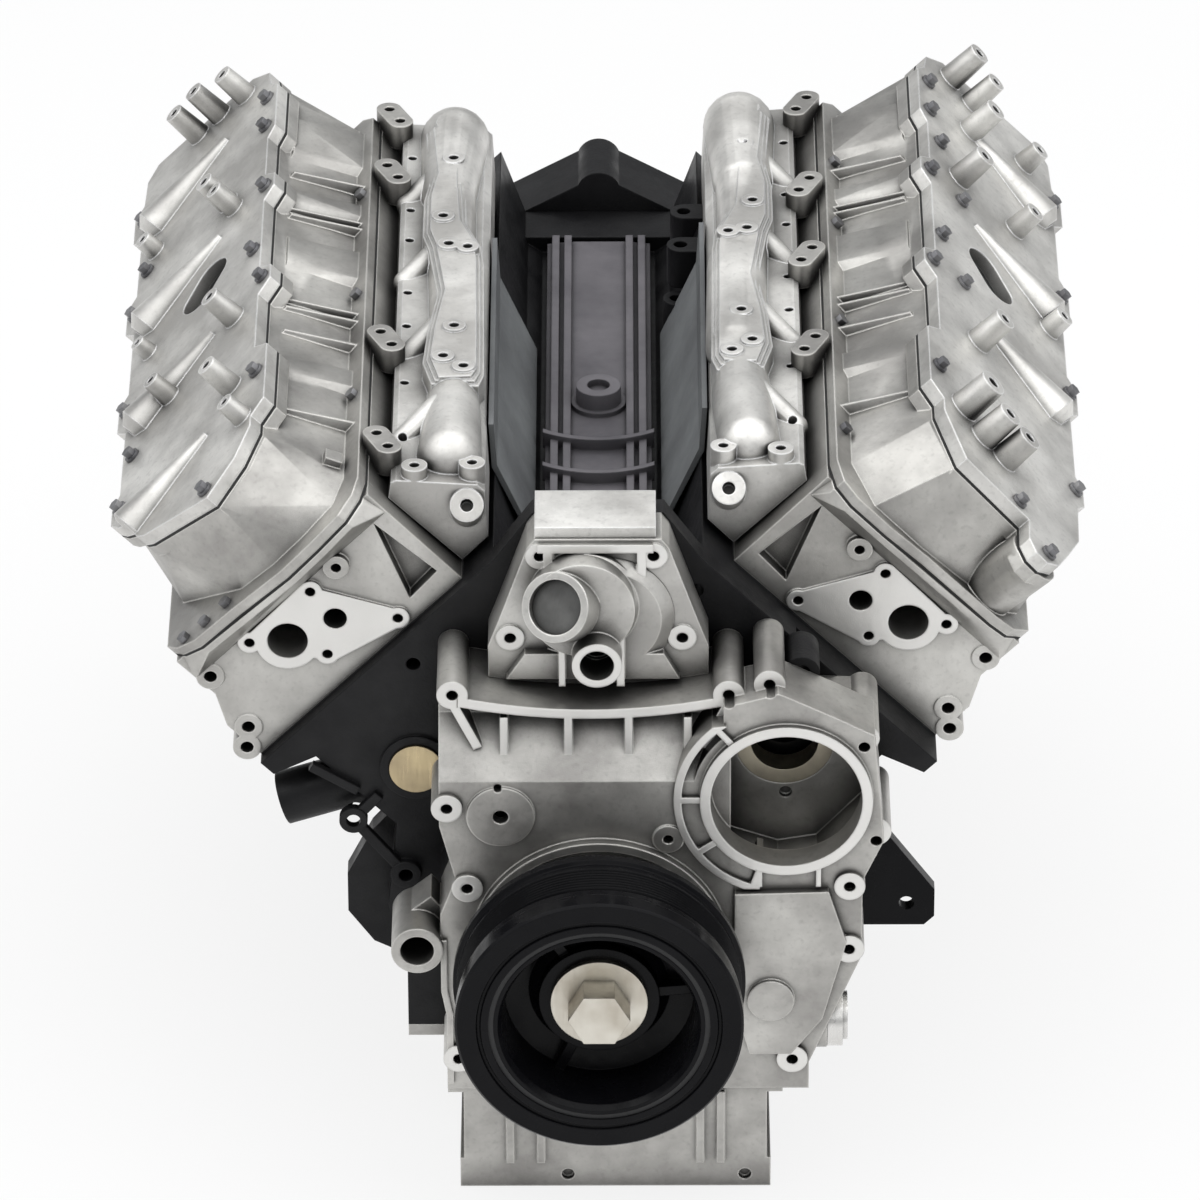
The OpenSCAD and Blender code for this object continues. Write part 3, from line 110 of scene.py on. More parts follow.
# Small helper that builds a node tree line by line
class Tree:
    def __init__(self, name):
        self.material = bpy.data.materials.new(name)
        self.material.use_nodes = True
        self.nodes = self.material.node_tree.nodes
        self.links = self.material.node_tree.links
        self.nodes.clear()
        self.place = self.add("ShaderNodeTexCoord").outputs["Object"]

    def feed(self, socket, value):
        if is_socket(value):
            self.links.new(value, socket)
        else:
            socket.default_value = value

    def add(self, kind, inputs=(), **settings):
        node = self.nodes.new(kind)
        for key, value in settings.items():
            setattr(node, key, value)
        for key, value in dict(inputs).items():
            self.feed(node.inputs[key], value)
        return node

    def noise(self, scale, detail=3.0, rough=0.5, vector=None):
        inputs = {"Vector": vector or self.place, "Scale": scale,
                  "Detail": detail, "Roughness": rough}
        return self.add("ShaderNodeTexNoise", inputs).outputs["Fac"]

    def ramp(self, value, low, high, start=0.0, end=1.0):
        inputs = {"Value": value, "From Min": low, "From Max": high,
                  "To Min": start, "To Max": end}
        return self.add("ShaderNodeMapRange", inputs).outputs["Result"]

    def math(self, operation, a, b=0.0):
        node = self.add("ShaderNodeMath", {0: a, 1: b}, operation=operation)
        return node.outputs[0]

    def mix(self, factor, a, b):
        node = self.add("ShaderNodeMix", {"Factor": factor}, data_type="RGBA")
        # A Mix node's colour sockets share their names with its float ones, so they go by number
        for index, value in ((6, a), (7, b)):
            self.feed(node.inputs[index], value if is_socket(value) else (*value, 1.0))
        return node.outputs[2]

    def bump(self, height, strength, distance, normal=None):
        inputs = {"Height": height, "Strength": strength, "Distance": distance}
        if normal is not None:
            inputs["Normal"] = normal
        return self.add("ShaderNodeBump", inputs).outputs["Normal"]

    def rounded(self, radius):
        node = self.add("ShaderNodeBevel", {"Radius": radius}, samples=EDGE_SAMPLES)
        return node.outputs["Normal"]

    # One where the rounded normal leaves the flat one, which is along edges
    def edges(self, normal):
        flat = self.add("ShaderNodeNewGeometry").outputs["Normal"]
        node = self.add("ShaderNodeVectorMath", {0: normal, 1: flat}, operation="DOT_PRODUCT")
        return self.ramp(node.outputs["Value"], *EDGE_COSINES)

    # One on front-facing flats that lie at one of the levels along Y, in metres
    def front_faces(self, levels):
        flat = self.add("ShaderNodeNewGeometry").outputs["Normal"]
        ahead = self.add("ShaderNodeSeparateXYZ", {0: flat}).outputs["Y"]
        facing = self.math("LESS_THAN", ahead, FRONT_FACING)
        along = self.add("ShaderNodeSeparateXYZ", {0: self.place}).outputs["Y"]
        mask = 0.0
        for level in levels:
            inputs = {0: along, 1: level, 2: LEVEL_REACH}
            near = self.add("ShaderNodeMath", inputs, operation="COMPARE")
            mask = self.math("MAXIMUM", mask, near.outputs[0])
        return self.math("MULTIPLY", mask, facing)

    # Nought deep in a hollow, one in the open; the materials use it to paint shade into hollows
    def hollow(self, distance):
        inputs = {"Distance": distance}
        node = self.add("ShaderNodeAmbientOcclusion", inputs, samples=HOLLOW_SAMPLES)
        return node.outputs["AO"]

    def finish(self, color, rough, metallic, normal=None, **extra):
        inputs = {"Base Color": color, "Roughness": rough, "Metallic": metallic}
        if normal is not None:
            inputs["Normal"] = normal
        inputs.update({key.replace("_", " "): value for key, value in extra.items()})
        shader = self.add("ShaderNodeBsdfPrincipled", inputs)
        output = self.add("ShaderNodeOutputMaterial")
        self.links.new(shader.outputs[0], output.inputs["Surface"])
        return self.material


# Colour of milled faces on the castings, and the lightest colour there is
MILLED = (0.80, 0.79, 0.765)
LIGHTEST = 1.0


# Cast aluminium: satin, with soft stains, painted shade in hollows and painted highlights along
# edges. Noise scales are per metre, and edge, depth and the bumps' heights are in metres, as in
# every material here.
def cast_aluminium(name, light, dark, rough=0.38, edge=0.002, depth=0.03, levels=()):
    tree = Tree(name)
    grain = tree.noise(1100.0, 3.0, 0.6)
    flow = tree.noise(11.0, 5.0, 0.6)
    speck = tree.noise(240.0, 2.0, 0.5)
    worn = tree.mix(tree.ramp(flow, 0.38, 0.66), dark, light)
    aged = tree.mix(tree.ramp(speck, 0.55, 0.75, 0.0, 0.22), worn, scaled(dark, 0.6))
    # Painted shade: deep in hollows the colour goes to a much darker copy of the dark colour
    shade = tree.ramp(tree.hollow(depth), 0.3, 0.9)
    base = tree.mix(shade, scaled(dark, 0.12), aged)
    round_normal = tree.rounded(edge)
    # Painted highlight: along edges the colour goes to a lighter copy of the light colour
    rim = tree.edges(round_normal)
    highlight_color = tuple(min(LIGHTEST, c) for c in scaled(light, 1.35))
    color = tree.mix(tree.math("MULTIPLY", rim, 0.8), base, highlight_color)
    if levels:
        color = tree.mix(tree.front_faces(levels), color, MILLED)
    gloss = tree.ramp(tree.noise(18.0, 4.0), 0.3, 0.7, rough - 0.07, rough + 0.1)
    waves = tree.noise(75.0, 2.0, 0.5)
    normal = tree.bump(grain, 0.3, 0.0004, tree.bump(waves, 0.16, 0.0022, round_normal))
    return tree.finish(color, gloss, 0.8, normal)


# Machined aluminium or steel: brighter, with fine tool marks and painted shade in hollows
def machined(name, light, dark, rough=0.28, metallic=0.95, edge=0.0008, marks=500.0):
    tree = Tree(name)
    inputs = {"Vector": tree.place, "Scale": (1.0, 1.0, 0.08)}
    stretch = tree.add("ShaderNodeMapping", inputs).outputs[0]
    tool = tree.noise(marks, 2.0, 0.5, stretch)
    cloud = tree.noise(30.0)
    base = tree.mix(tree.ramp(cloud, 0.35, 0.65), dark, light)
    # Painted shade: darker deep in hollows, where shade falls
    color = tree.mix(tree.ramp(tree.hollow(0.01), 0.2, 0.8), scaled(dark, 0.25), base)
    gloss = tree.ramp(tool, 0.3, 0.7, rough - 0.06, rough + 0.1)
    normal = tree.bump(tool, 0.12, 0.0003, tree.rounded(edge))
    return tree.finish(color, gloss, metallic, normal)


# Black paint over iron, or a coat on sheet: dull, with clouds and painted shade in hollows
def black_paint(name, light, dark, rough=0.42, edge=0.0018, grain_size=420.0, grain_depth=0.4,
                sheen=0.22):
    tree = Tree(name)
    grain = tree.noise(grain_size, 5.0, 0.6)
    cloud = tree.noise(14.0, 4.0, 0.6)
    worn = tree.mix(tree.ramp(cloud, 0.35, 0.7), dark, light)
    # Painted shade: darker deep in hollows, where shade falls
    color = tree.mix(tree.ramp(tree.hollow(0.03), 0.2, 0.9), scaled(dark, 0.3), worn)
    gloss = tree.ramp(tree.noise(45.0), 0.3, 0.7, rough - 0.1, rough + 0.12)
    normal = tree.bump(grain, grain_depth, 0.0006, tree.rounded(edge))
    return tree.finish(color, gloss, 0.0, normal, Specular_IOR_Level=sheen)


# Rubber or gasket paper: matt, with a fine grain
def rubber(name, tone):
    tree = Tree(name)
    grain = tree.noise(700.0)
    color = tree.mix(tree.noise(40.0), scaled(tone, 0.7), tone)
    return tree.finish(color, 0.62, 0.0, tree.bump(grain, 0.3, 0.0003))


CAST_LIGHT = (0.62, 0.61, 0.58)
CAST_DARK = (0.35, 0.34, 0.325)
# What each material is made by: light colour, dark colour, and where it differs, the rest
LOOKS = {
    "black_iron": (black_paint, (0.016, 0.016, 0.017), (0.006, 0.006, 0.007)),
    "black_steel": (black_paint, (0.006, 0.006, 0.007), (0.003, 0.003, 0.004),
                    0.24, 0.0012, 300.0, 0.06, 0.12),
    "cast_aluminium": (cast_aluminium, CAST_LIGHT, CAST_DARK),
    "cover_cast": (cast_aluminium, CAST_LIGHT, CAST_DARK),
    "housing_cast": (cast_aluminium, (0.70, 0.69, 0.66), (0.46, 0.45, 0.43)),
    "head_cast": (cast_aluminium, (0.66, 0.65, 0.62), (0.44, 0.43, 0.41)),
    "light_cast": (cast_aluminium, (0.84, 0.83, 0.80), (0.50, 0.49, 0.47), 0.44),
    "bright_aluminium": (machined, (0.86, 0.85, 0.83), (0.70, 0.69, 0.67)),
    "forged_steel": (machined, (0.42, 0.41, 0.40), (0.25, 0.24, 0.24), 0.36),
    "gear_steel": (machined, (0.55, 0.54, 0.53), (0.38, 0.37, 0.36)),
    "plated_steel": (machined, (0.70, 0.67, 0.60), (0.52, 0.48, 0.41), 0.34),
    "bolt_steel": (machined, (0.30, 0.30, 0.31), (0.16, 0.16, 0.17), 0.36),
    "brass_plug": (machined, (0.60, 0.49, 0.30), (0.42, 0.34, 0.22), 0.32),
    "bearing_alloy": (machined, (0.74, 0.68, 0.54), (0.5, 0.45, 0.36), 0.36),
    "rubber": (rubber, (0.02, 0.02, 0.021)),
    "gasket": (rubber, (0.012, 0.012, 0.012)),
    "grey_panel": (black_paint, (0.20, 0.21, 0.215), (0.13, 0.135, 0.14), 0.5, 0.001, 300.0, 0.1),
    "valley_coat": (black_paint, (0.17, 0.162, 0.175), (0.10, 0.096, 0.106),
                    0.4, 0.002, 300.0, 0.2),
    "dull_disc": (machined, (0.18, 0.18, 0.175), (0.10, 0.10, 0.098), 0.45),
    "piston_alloy": (machined, (0.75, 0.74, 0.72), (0.58, 0.57, 0.55)),
}
# Where front faces are milled bright, along Y in metres
MILLED_LEVELS = {
    "cover_cast": (-0.829, -0.827, -0.81),
    "housing_cast": (-0.774, -0.777, -0.792, -0.812),
    "head_cast": (-0.723, -0.698),
}


def make_material(name):
    maker, *values = LOOKS[name]
    extra = {"levels": MILLED_LEVELS[name]} if name in MILLED_LEVELS else {}
    return maker(name, *values, **extra)


MATERIALS = {name: make_material(name) for name in LOOKS}

# Nodes that look unlike the rest of their material
OWN_LOOK = {
    "valley_cover": "valley_coat",
    "inlet_plug": "dull_disc",
    "front_cover": "cover_cast",
    "gear_housing": "housing_cast",
    "gear_housing_plate": "light_cast",
    "cylinder_head_left": "head_cast",
    "cylinder_head_right": "head_cast",
}
for part in frame["record"]["subparts"]:
    mesh = frame["nodes"][part["node"]].data
    mesh.materials.clear()
    mesh.materials.append(MATERIALS[OWN_LOOK.get(part["node"], part["material_slot"])])


# Closed solids in millimetres in the part's frame: a list of points and a list of faces
MM = 0.001
FLAT = Matrix()
MIRROR = Matrix.Scale(-1.0, 4, (1.0, 0.0, 0.0))
SHARP_ANGLE = math.radians(30.0)
# How many sides or steps round forms have
HEX = 6
BALL_STEPS = 12
SMALL_HOLE_SIDES = 20
HOLE_SIDES = 24
ROD_SIDES = 40
DOME_SIDES = 64
RING_SIDES = 96
# How far a piece is sunk into what carries it, and how far a cutter stands out of what it cuts
SINK = 1


# Faces between two equal rings of points: both ends, then the sides
def tube_faces(count):
    sides = [(i, (i + 1) % count, count + (i + 1) % count, count + i) for i in range(count)]
    return [tuple(range(count)), tuple(range(count, 2 * count))] + sides


# Outline in X and Y, drawn up from low to high
def prism(outline, low, high):
    points = [(x, y, z) for z in (low, high) for x, y in outline]
    return points, tube_faces(len(outline))


# Outline in X and Z, drawn along Y
def slab(outline, y0, y1):
    points, faces = prism(outline, y0, y1)
    return [(x, y, z) for x, z, y in points], faces


# Upright cone or rod at a place in X and Y
def cone(x, y, r0, r1, low, high, count=ROD_SIDES):
    turns = [math.tau * i / count for i in range(count)]
    points = [(x + r * math.cos(a), y + r * math.sin(a), z)
              for r, z in ((r0, low), (r1, high)) for a in turns]
    return points, tube_faces(count)


def rod(x, y, r, low, high, count=ROD_SIDES):
    return cone(x, y, r, r, low, high, count)


# Rod along Y at a place in X and Z
def rod_y(x, z, r, y0, y1, count=ROD_SIDES):
    points, faces = rod(x, z, r, y0, y1, count)
    return [(a, c, b) for a, b, c in points], faces


def ball(x, y, z, r, steps=BALL_STEPS):
    points, faces = [(x, y, z - r), (x, y, z + r)], []
    around = 2 * steps
    for i in range(1, steps):
        tilt = math.pi * i / steps
        for j in range(around):
            turn = math.tau * j / around
            points.append((x + r * math.sin(tilt) * math.cos(turn),
                           y + r * math.sin(tilt) * math.sin(turn),
                           z - r * math.cos(tilt)))
    for j in range(around):
        after = (j + 1) % around
        faces.append((0, 2 + after, 2 + j))
        last = 2 + (steps - 2) * around
        faces.append((1, last + j, last + after))
        for i in range(steps - 2):
            row = 2 + i * around
            faces.append((row + j, row + after, row + around + after, row + around + j))
    return points, faces


def box(low, high):
    corners = [(low[0], low[1]), (high[0], low[1]), (high[0], high[1]), (low[0], high[1])]
    return prism(corners, low[2], high[2])


def moved(solid, matrix):
    return [tuple(matrix @ Vector(p)) for p in solid[0]], solid[1]


# Convex hull of everything in the solids
def hull(*solids):
    shell = bmesh.new()
    for solid in solids:
        for point in solid[0]:
            shell.verts.new(point)
    done = bmesh.ops.convex_hull(shell, input=shell.verts)
    spare = done["geom_interior"] + done["geom_unused"]
    inner = {v for v in spare if isinstance(v, bmesh.types.BMVert)}
    bmesh.ops.delete(shell, geom=list(inner), context="VERTS")
    shell.verts.index_update()
    points = [tuple(v.co) for v in shell.verts]
    faces = [tuple(v.index for v in f.verts) for f in shell.faces]
    shell.free()
    return points, faces


def as_mesh(name, solid, scale=1.0):
    mesh = bpy.data.meshes.new(name)
    mesh.from_pydata([tuple(scale * c for c in p) for p in solid[0]], [], solid[1])
    shell = bmesh.new()
    shell.from_mesh(mesh)
    bmesh.ops.recalc_face_normals(shell, faces=shell.faces)
    shell.to_mesh(mesh)
    shell.free()
    return mesh


# Joins, cuts or intersects closed solids
def combine(operation, base, others):
    made = [bpy.data.objects.new("step", as_mesh("step", solid)) for solid in (base, *others)]
    for obj in made:
        scene.collection.objects.link(obj)
    for other in made[1:]:
        step = made[0].modifiers.new("step", "BOOLEAN")
        step.operation = operation
        step.solver = "MANIFOLD"
        step.object = other
    graph = bpy.context.evaluated_depsgraph_get()
    mesh = bpy.data.meshes.new_from_object(made[0].evaluated_get(graph))
    result = [tuple(v.co) for v in mesh.vertices], [tuple(p.vertices) for p in mesh.polygons]
    for obj in made:
        spent = obj.data
        bpy.data.objects.remove(obj)
        bpy.data.meshes.remove(spent)
    bpy.data.meshes.remove(mesh)
    return result


def union(*solids):
    return combine("UNION", solids[0], solids[1:])


def cut(base, *tools):
    return combine("DIFFERENCE", base, tools)


def meet(base, tool):
    return combine("INTERSECT", base, [tool])


# Puts a finished solid on the long block, in place of the nodes named
def put(name, material, solid, matrix=FLAT, nodes=()):
    mesh = as_mesh(name, moved(solid, matrix), MM)
    mesh.polygons.foreach_set("use_smooth", [True] * len(mesh.polygons))
    mesh.set_sharp_from_angle(angle=SHARP_ANGLE)
    mesh.materials.append(MATERIALS[material])
    obj = bpy.data.objects.new(name, mesh)
    scene.collection.objects.link(obj)
    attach(obj, "long_block")
    if nodes:
        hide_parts(*nodes)


# Levels up a bank and places along Y, as in the part's source
HEAD_IN = 117.0
HEAD_TOP = 367.2
LOWER_FOOT = 369.6
LOWER_TOP = 437.6
LID_FOOT = 440.0
LID_TOP = 451.0
BLOCK_FRONT = -732.0
COVER_FACE = -823.0
HOUSING_FACE = -772.0
COVER_OUT = 91.0
COVER_IN = 119.0
SIDE_NAMES = {-1: "left", 1: "right"}
HEAD_FRONT = {-1: -720.0, 1: -695.0}
BANK_TURN = Matrix.Rotation(math.radians(45.0), 4, "Y")


# From the right side's own frame, which starts at its head's front face, to either side
def on_side(side, turn=FLAT):
    place = turn @ Matrix.Translation((0.0, HEAD_FRONT[side], 0.0))
    return place if side > 0 else MIRROR @ place


def bank(side):
    return on_side(side, BANK_TURN)


# Outlines of the joint on the head, of the lower cover's foot and crest, and of the lid. They
# run along the deck and the crankshaft, from a head's front face. The rear is alike on both sides.
JOINT_FRONT = {
    -1: [(91, 10), (80, -5), (60, -17), (18, -20), (-36, -28), (-67, -25), (-98, -19), (-113, -5)],
    1: [(91, 6), (74, -12), (56, -16), (-20, -16), (-60, -20), (-96, -19), (-112, -10)],
}
FOOT_FRONT = {
    -1: [(-104, 30), (-93, 4), (-60, -5), (-28, -8), (8, -2), (76, 58), (82, 100)],
    1: [(-104, 26), (-80, -9), (-30, -11), (8, -7), (64, 2), (78, 16), (82, 60)],
}
CREST_FRONT = {
    -1: [(-74, 60), (-57, 27), (-30, 4), (42, 36), (58, 72), (71, 96)],
    1: [(-74, 58), (-53, 7), (16, -3), (60, 4), (71, 34)],
}
LID_FRONT = {
    -1: [(-75, 58), (-59, 27), (-30, 2), (42, 32), (50, 40), (60, 70)],
    1: [(-75, 54), (-53, 5), (15, -5), (14, -34), (21, -47), (33, -49), (46, -38), (58, -8),
        (72, 30)],
}
JOINT_REAR = [(-COVER_IN, 14), (-COVER_IN, 596), (-107, 608), (79, 608), (91, 596)]
FOOT_REAR = [(82, 592), (66, 606), (-92, 606), (-104, 592)]
CREST_REAR = [(71, 632), (58, 652), (-50, 652), (-71, 634)]
LID_REAR = [(72, 640), (60, 656), (-52, 656), (-72, 640)]
# Lugs along the lid's edges: from, to, reach beyond the recessed edge
LID_EDGE_IN = -75
LID_EDGE_OUT = 74
LUG_SLOPE = 12
LUGS_IN = [(84, 168, 14), (276, 296, 13), (431, 450, 11), (536, 606, 8)]
LUGS_OUT = [(94, 120, 8), (240, 278, 10), (398, 438, 10), (550, 590, 10)]
# Raised bands on the inboard wall: from, to, height
BANDS = [(102, 108, 9), (160, 198, 5), (226, 232, 8), (264, 269, 8), (276, 281, 8),
         (332, 388, 6), (415, 419, 8), (425, 429, 8), (434, 466, 6), (484, 490, 9), (516, 588, 6)]
BAND_SOFT = 7
BAND_LOW = LOWER_FOOT + 7.5
BAND_HIGH = LOWER_TOP - 10.5
# The lower cover's two flanges
JOINT_FACE = LOWER_FOOT + 8
LID_SEAT = LOWER_TOP - 11
# Standoff bosses: place along the deck and along the head, height, radius
BOSSES = {
    -1: [(10, 640, 30, 9), (-15, 642, 32, 9), (-45, 636, 28, 9), (-32, 469, 28, 9),
         (-40, 450, 24, 8), (-49, 258, 28, 9), (-51, 146, 28, 9), (-66, 80, 20, 8),
         (22, 222, 22, 8), (54, 500, 16, 8), (52, 330, 14, 7)],
    1: [(-44, 638, 34, 10), (-21, 624, 30, 9), (-24, 572, 30, 10), (-41, 470, 30, 10),
        (23, 467, 24, 9), (-31, 214, 30, 10), (-53, 83, 32, 12), (-33, 62, 30, 11),
        (-10, 56, 28, 11), (56, 344, 18, 9), (40, 600, 20, 9)],
}
BOSS_BORE = 0.42
RIDGES = {-1: [64, 223, 382, 546], 1: [212, 372, 532]}
RIDGE_OUT = 58
RIDGE_LONG = 92
RIDGE_FLAT = 0.8
OVAL_PLACE = {-1: 360.0, 1: 348.0}
OVAL_ACROSS = -10
ABOVE_LID = LID_TOP + 30
LID_BOLTS = {
    -1: [(-72, 594), (-72, 546), (-76, 440), (-67, 345), (-79, 286), (-79, 135), (-28, 15),
         (72, 574), (74, 418), (62, 476), (74, 262), (62, 178), (72, 108)],
    1: [(-72, 594), (-72, 546), (-62, 503), (-76, 440), (-40, 433), (-67, 342), (-79, 286),
        (-44, 292), (-79, 116), (4, 8), (34, -34), (72, 108), (74, 262), (74, 418), (72, 574)],
}
FLANGE_R = 6.5
FLANGE_RISE = 2.5
HEX_R = 5
HEX_RISE = 7.5
JOINT_HEX_RISE = 5
JOINT_BOLTS = {
    -1: [(24, -5), (47, -6), (70, -3), (-110, 150), (-110, 310), (-110, 475)],
    1: [(-110, 70), (-110, 240), (-110, 400), (-110, 503)],
}


def lug_run(edge, lugs):
    way = math.copysign(1, edge)
    return [(edge + way * x, y) for low, high, reach in lugs
            for x, y in ((0, low - LUG_SLOPE), (reach, low), (reach, high), (0, high + LUG_SLOPE))]


def joint_outline(side):
    return JOINT_FRONT[side] + JOINT_REAR


def lid_outline(side):
    inner = lug_run(LID_EDGE_IN, LUGS_IN)
    return LID_FRONT[side] + lug_run(LID_EDGE_OUT, LUGS_OUT) + LID_REAR + inner[::-1]


# Raised band across the inboard wall, from the joint up to the lid's rim
def band_section(rise):
    return [(-102 - rise, BAND_LOW), (-92, BAND_LOW), (-62, BAND_HIGH),
            (-75 - 0.7 * rise, BAND_HIGH)]


# Small square pad that stands on the left cover's inboard wall
def wall_pad():
    seat = (Matrix.Translation((-96, 50, LOWER_FOOT + 16))
            @ Matrix.Rotation(math.radians(-66.0), 4, "Y"))
    return moved(box((-7, -7, 0), (7, 7, 9)), seat)


# Round column that carries the nose of the right lid
def nose_column():
    return hull(rod(33, -24, 22, LOWER_TOP - 4, LOWER_TOP),
                rod(44, 14, 24, LOWER_FOOT, LOWER_FOOT + 4))


def lower_cover(side):
    foot = prism(FOOT_FRONT[side] + FOOT_REAR, LOWER_FOOT + 2, LOWER_FOOT + 6)
    crest = prism(CREST_FRONT[side] + CREST_REAR, LOWER_TOP - 6, LOWER_TOP)
    solids = [hull(foot, crest),
              prism(joint_outline(side), LOWER_FOOT, JOINT_FACE),
              prism(lid_outline(side), LID_SEAT, LOWER_TOP)]
    for low, high, rise in BANDS:
        soft = min(BAND_SOFT, (high - low) / 3)
        solids.append(hull(slab(band_section(0.3 * rise), low, high),
                           slab(band_section(1.25 * rise), low + soft, high - soft)))
    solids.append(wall_pad() if side < 0 else nose_column())
    return union(*solids)


# Ridge that grows from a point near the inboard edge to a round nose outboard
def ridge(side, y):
    seat = (Matrix.Translation((RIDGE_OUT, y, LID_TOP))
            @ Matrix.Rotation(math.radians(154.0), 4, "Z")
            @ Matrix.Diagonal((1.0, 1.0, RIDGE_FLAT, 1.0))
            @ Matrix.Rotation(math.radians(90.0), 4, "Y"))
    spine = moved(union(cone(0, 0, 20, 4, 0, RIDGE_LONG), cone(0, 0, 11, 20, -9, 0.01)), seat)
    return meet(spine, prism(lid_outline(side), LID_TOP - SINK, ABOVE_LID))


# Lid with its ridges, standoff bosses and oval opening
def lid(side):
    solids = [prism(lid_outline(side), LID_FOOT, LID_TOP)]
    solids += [ridge(side, y) for y in RIDGES[side]]
    tools = []
    for x, y, rise, r in BOSSES[side]:
        solids.append(cone(x, y, r + 1, r - 0.5, LID_TOP - SINK, LID_TOP + rise))
        tools.append(rod(x, y, BOSS_BORE * r, LID_TOP, LID_TOP + rise + SINK, HOLE_SIDES))
    seat = (Matrix.Translation((OVAL_ACROSS, OVAL_PLACE[side], 0))
            @ Matrix.Rotation(math.radians(37.0), 4, "Z"))
    ends = [rod(0, y, 17, LID_FOOT - SINK, ABOVE_LID) for y in (-12, 12)]
    tools.append(moved(hull(*ends), seat))
    return cut(union(*solids), *tools)


# Flanged bolts of the lid and plain ones of the joint below it
def bolts(side):
    solids = []
    for x, y in LID_BOLTS[side]:
        flange = rod(x, y, FLANGE_R, LID_TOP - SINK, LID_TOP + FLANGE_RISE, HOLE_SIDES)
        solids.append(union(flange, rod(x, y, HEX_R, LID_TOP + SINK, LID_TOP + HEX_RISE, HEX)))
    for x, y in JOINT_BOLTS[side]:
        solids.append(rod(x, y, HEX_R, JOINT_FACE - SINK, JOINT_FACE + JOINT_HEX_RISE, HEX))
    return union(*solids)


# The head's deck bulges ahead of its front face, below the cover's joint
def head_flare(side):
    rim = JOINT_FRONT[side] + [(-COVER_IN, 14), (-COVER_IN, 20), (COVER_OUT, 20)]
    root = box((-HEAD_IN, 0, HEAD_TOP - 21), (COVER_OUT, 12, HEAD_TOP - 17))
    return hull(prism(rim, HEAD_TOP - 5, HEAD_TOP), root)


def both_banks(maker):
    return union(*[moved(maker(side), bank(side)) for side in SIDE_NAMES])


for side, word in SIDE_NAMES.items():
    where = bank(side)
    put("lower_cover_" + word, "cast_aluminium", lower_cover(side), where,
        ["lower_valve_cover_" + word])
    put("lid_" + word, "light_cast", lid(side), where, ["upper_valve_cover_" + word])
    put("head_flare_" + word, "head_cast", head_flare(side), where)

put("joint_seals", "gasket",
    both_banks(lambda side: prism(joint_outline(side), HEAD_TOP, LOWER_FOOT)),
    nodes=["lower_cover_gaskets"])
put("lid_seals", "gasket",
    both_banks(lambda side: prism(lid_outline(side), LOWER_TOP, LID_FOOT)),
    nodes=["upper_cover_gaskets"])
put("lid_bolts", "bolt_steel", both_banks(bolts), nodes=["cover_bolts"])


# Intake castings between each head and the valley
CASTING_TOP = 340.2
CASTING_OUT = 154.0
CASTING_SPAN = (20, 598)
# The section leaves a groove along the head's leaning face
CASTING_SECTION = [(CASTING_OUT + 6, 329), (104, 274), (84, 295), (86, CASTING_TOP - 6),
                   (92, CASTING_TOP), (CASTING_OUT, CASTING_TOP + 4),
                   (CASTING_OUT + 4, CASTING_TOP + 2)]
PLENUM_TOP = CASTING_TOP + 24
PLENUM = [(128, 589), (139, 553), (134, 478), (139, 440), (139, 383), (134, 360), (126, 286),
          (133, 226), (136, 177), (129, 145), (92, 141), (88, 158), (90, 334), (93, 365),
          (104, 400), (107, 468), (106, 543)]
PLENUM_BOSSES = [(122, 560), (123, 403), (118, 357), (103, 352), (112, 224), (120, 176),
                 (104, 160), (116, 500)]
FRONT_BOSSES = [(96, 34), (140, 30)]
CYLINDERS = [112.0, 240.0, 368.0, 496.0]
EDGE_HOLES = [84, 172, 262, 316, 402, 452, 540]
# Rounded lobes, each from a ball to a ball: place across and along, radius, twice
LOBES = {
    -1: [(114, 58, 25, 112, 118, 22), (112, 118, 22, 112, 180, 18), (112, 180, 18, 118, 470, 20),
         (120, 470, 22, 116, 572, 28)],
    1: [(116, 54, 24, 112, 112, 24), (112, 112, 24, 108, 200, 20), (108, 200, 24, 110, 330, 24),
        (114, 330, 20, 116, 470, 22), (116, 470, 24, 114, 570, 29)],
}
CLAMPS = {-1: [61, 220, 494, 590], 1: [186, 330, 446, 584]}
CLAMP_AT = CASTING_OUT + 11
CLAMP_FOOT = CASTING_TOP - 4
CLAMP_TOP = CASTING_TOP + 17


# Outline drawn in towards its middle line, and at its two ends
def drawn_in(outline, reach):
    middle = sum(x for x, y in outline) / len(outline)
    low, high = min(y for x, y in outline), max(y for x, y in outline)
    centre = (low + high) / 2
    return [(x + (reach if x < middle else -reach),
             y + (reach if y < centre else -reach) * (y in (low, high))) for x, y in outline]


# Runner that slants forward on its way out to the head
def runner(y):
    return hull(ball(122, y + 12, CASTING_TOP + 8, 12),
                ball(CASTING_OUT - 2, y - 24, CASTING_TOP - 3, 10),
                ball(122, y + 12, CASTING_TOP, 12))


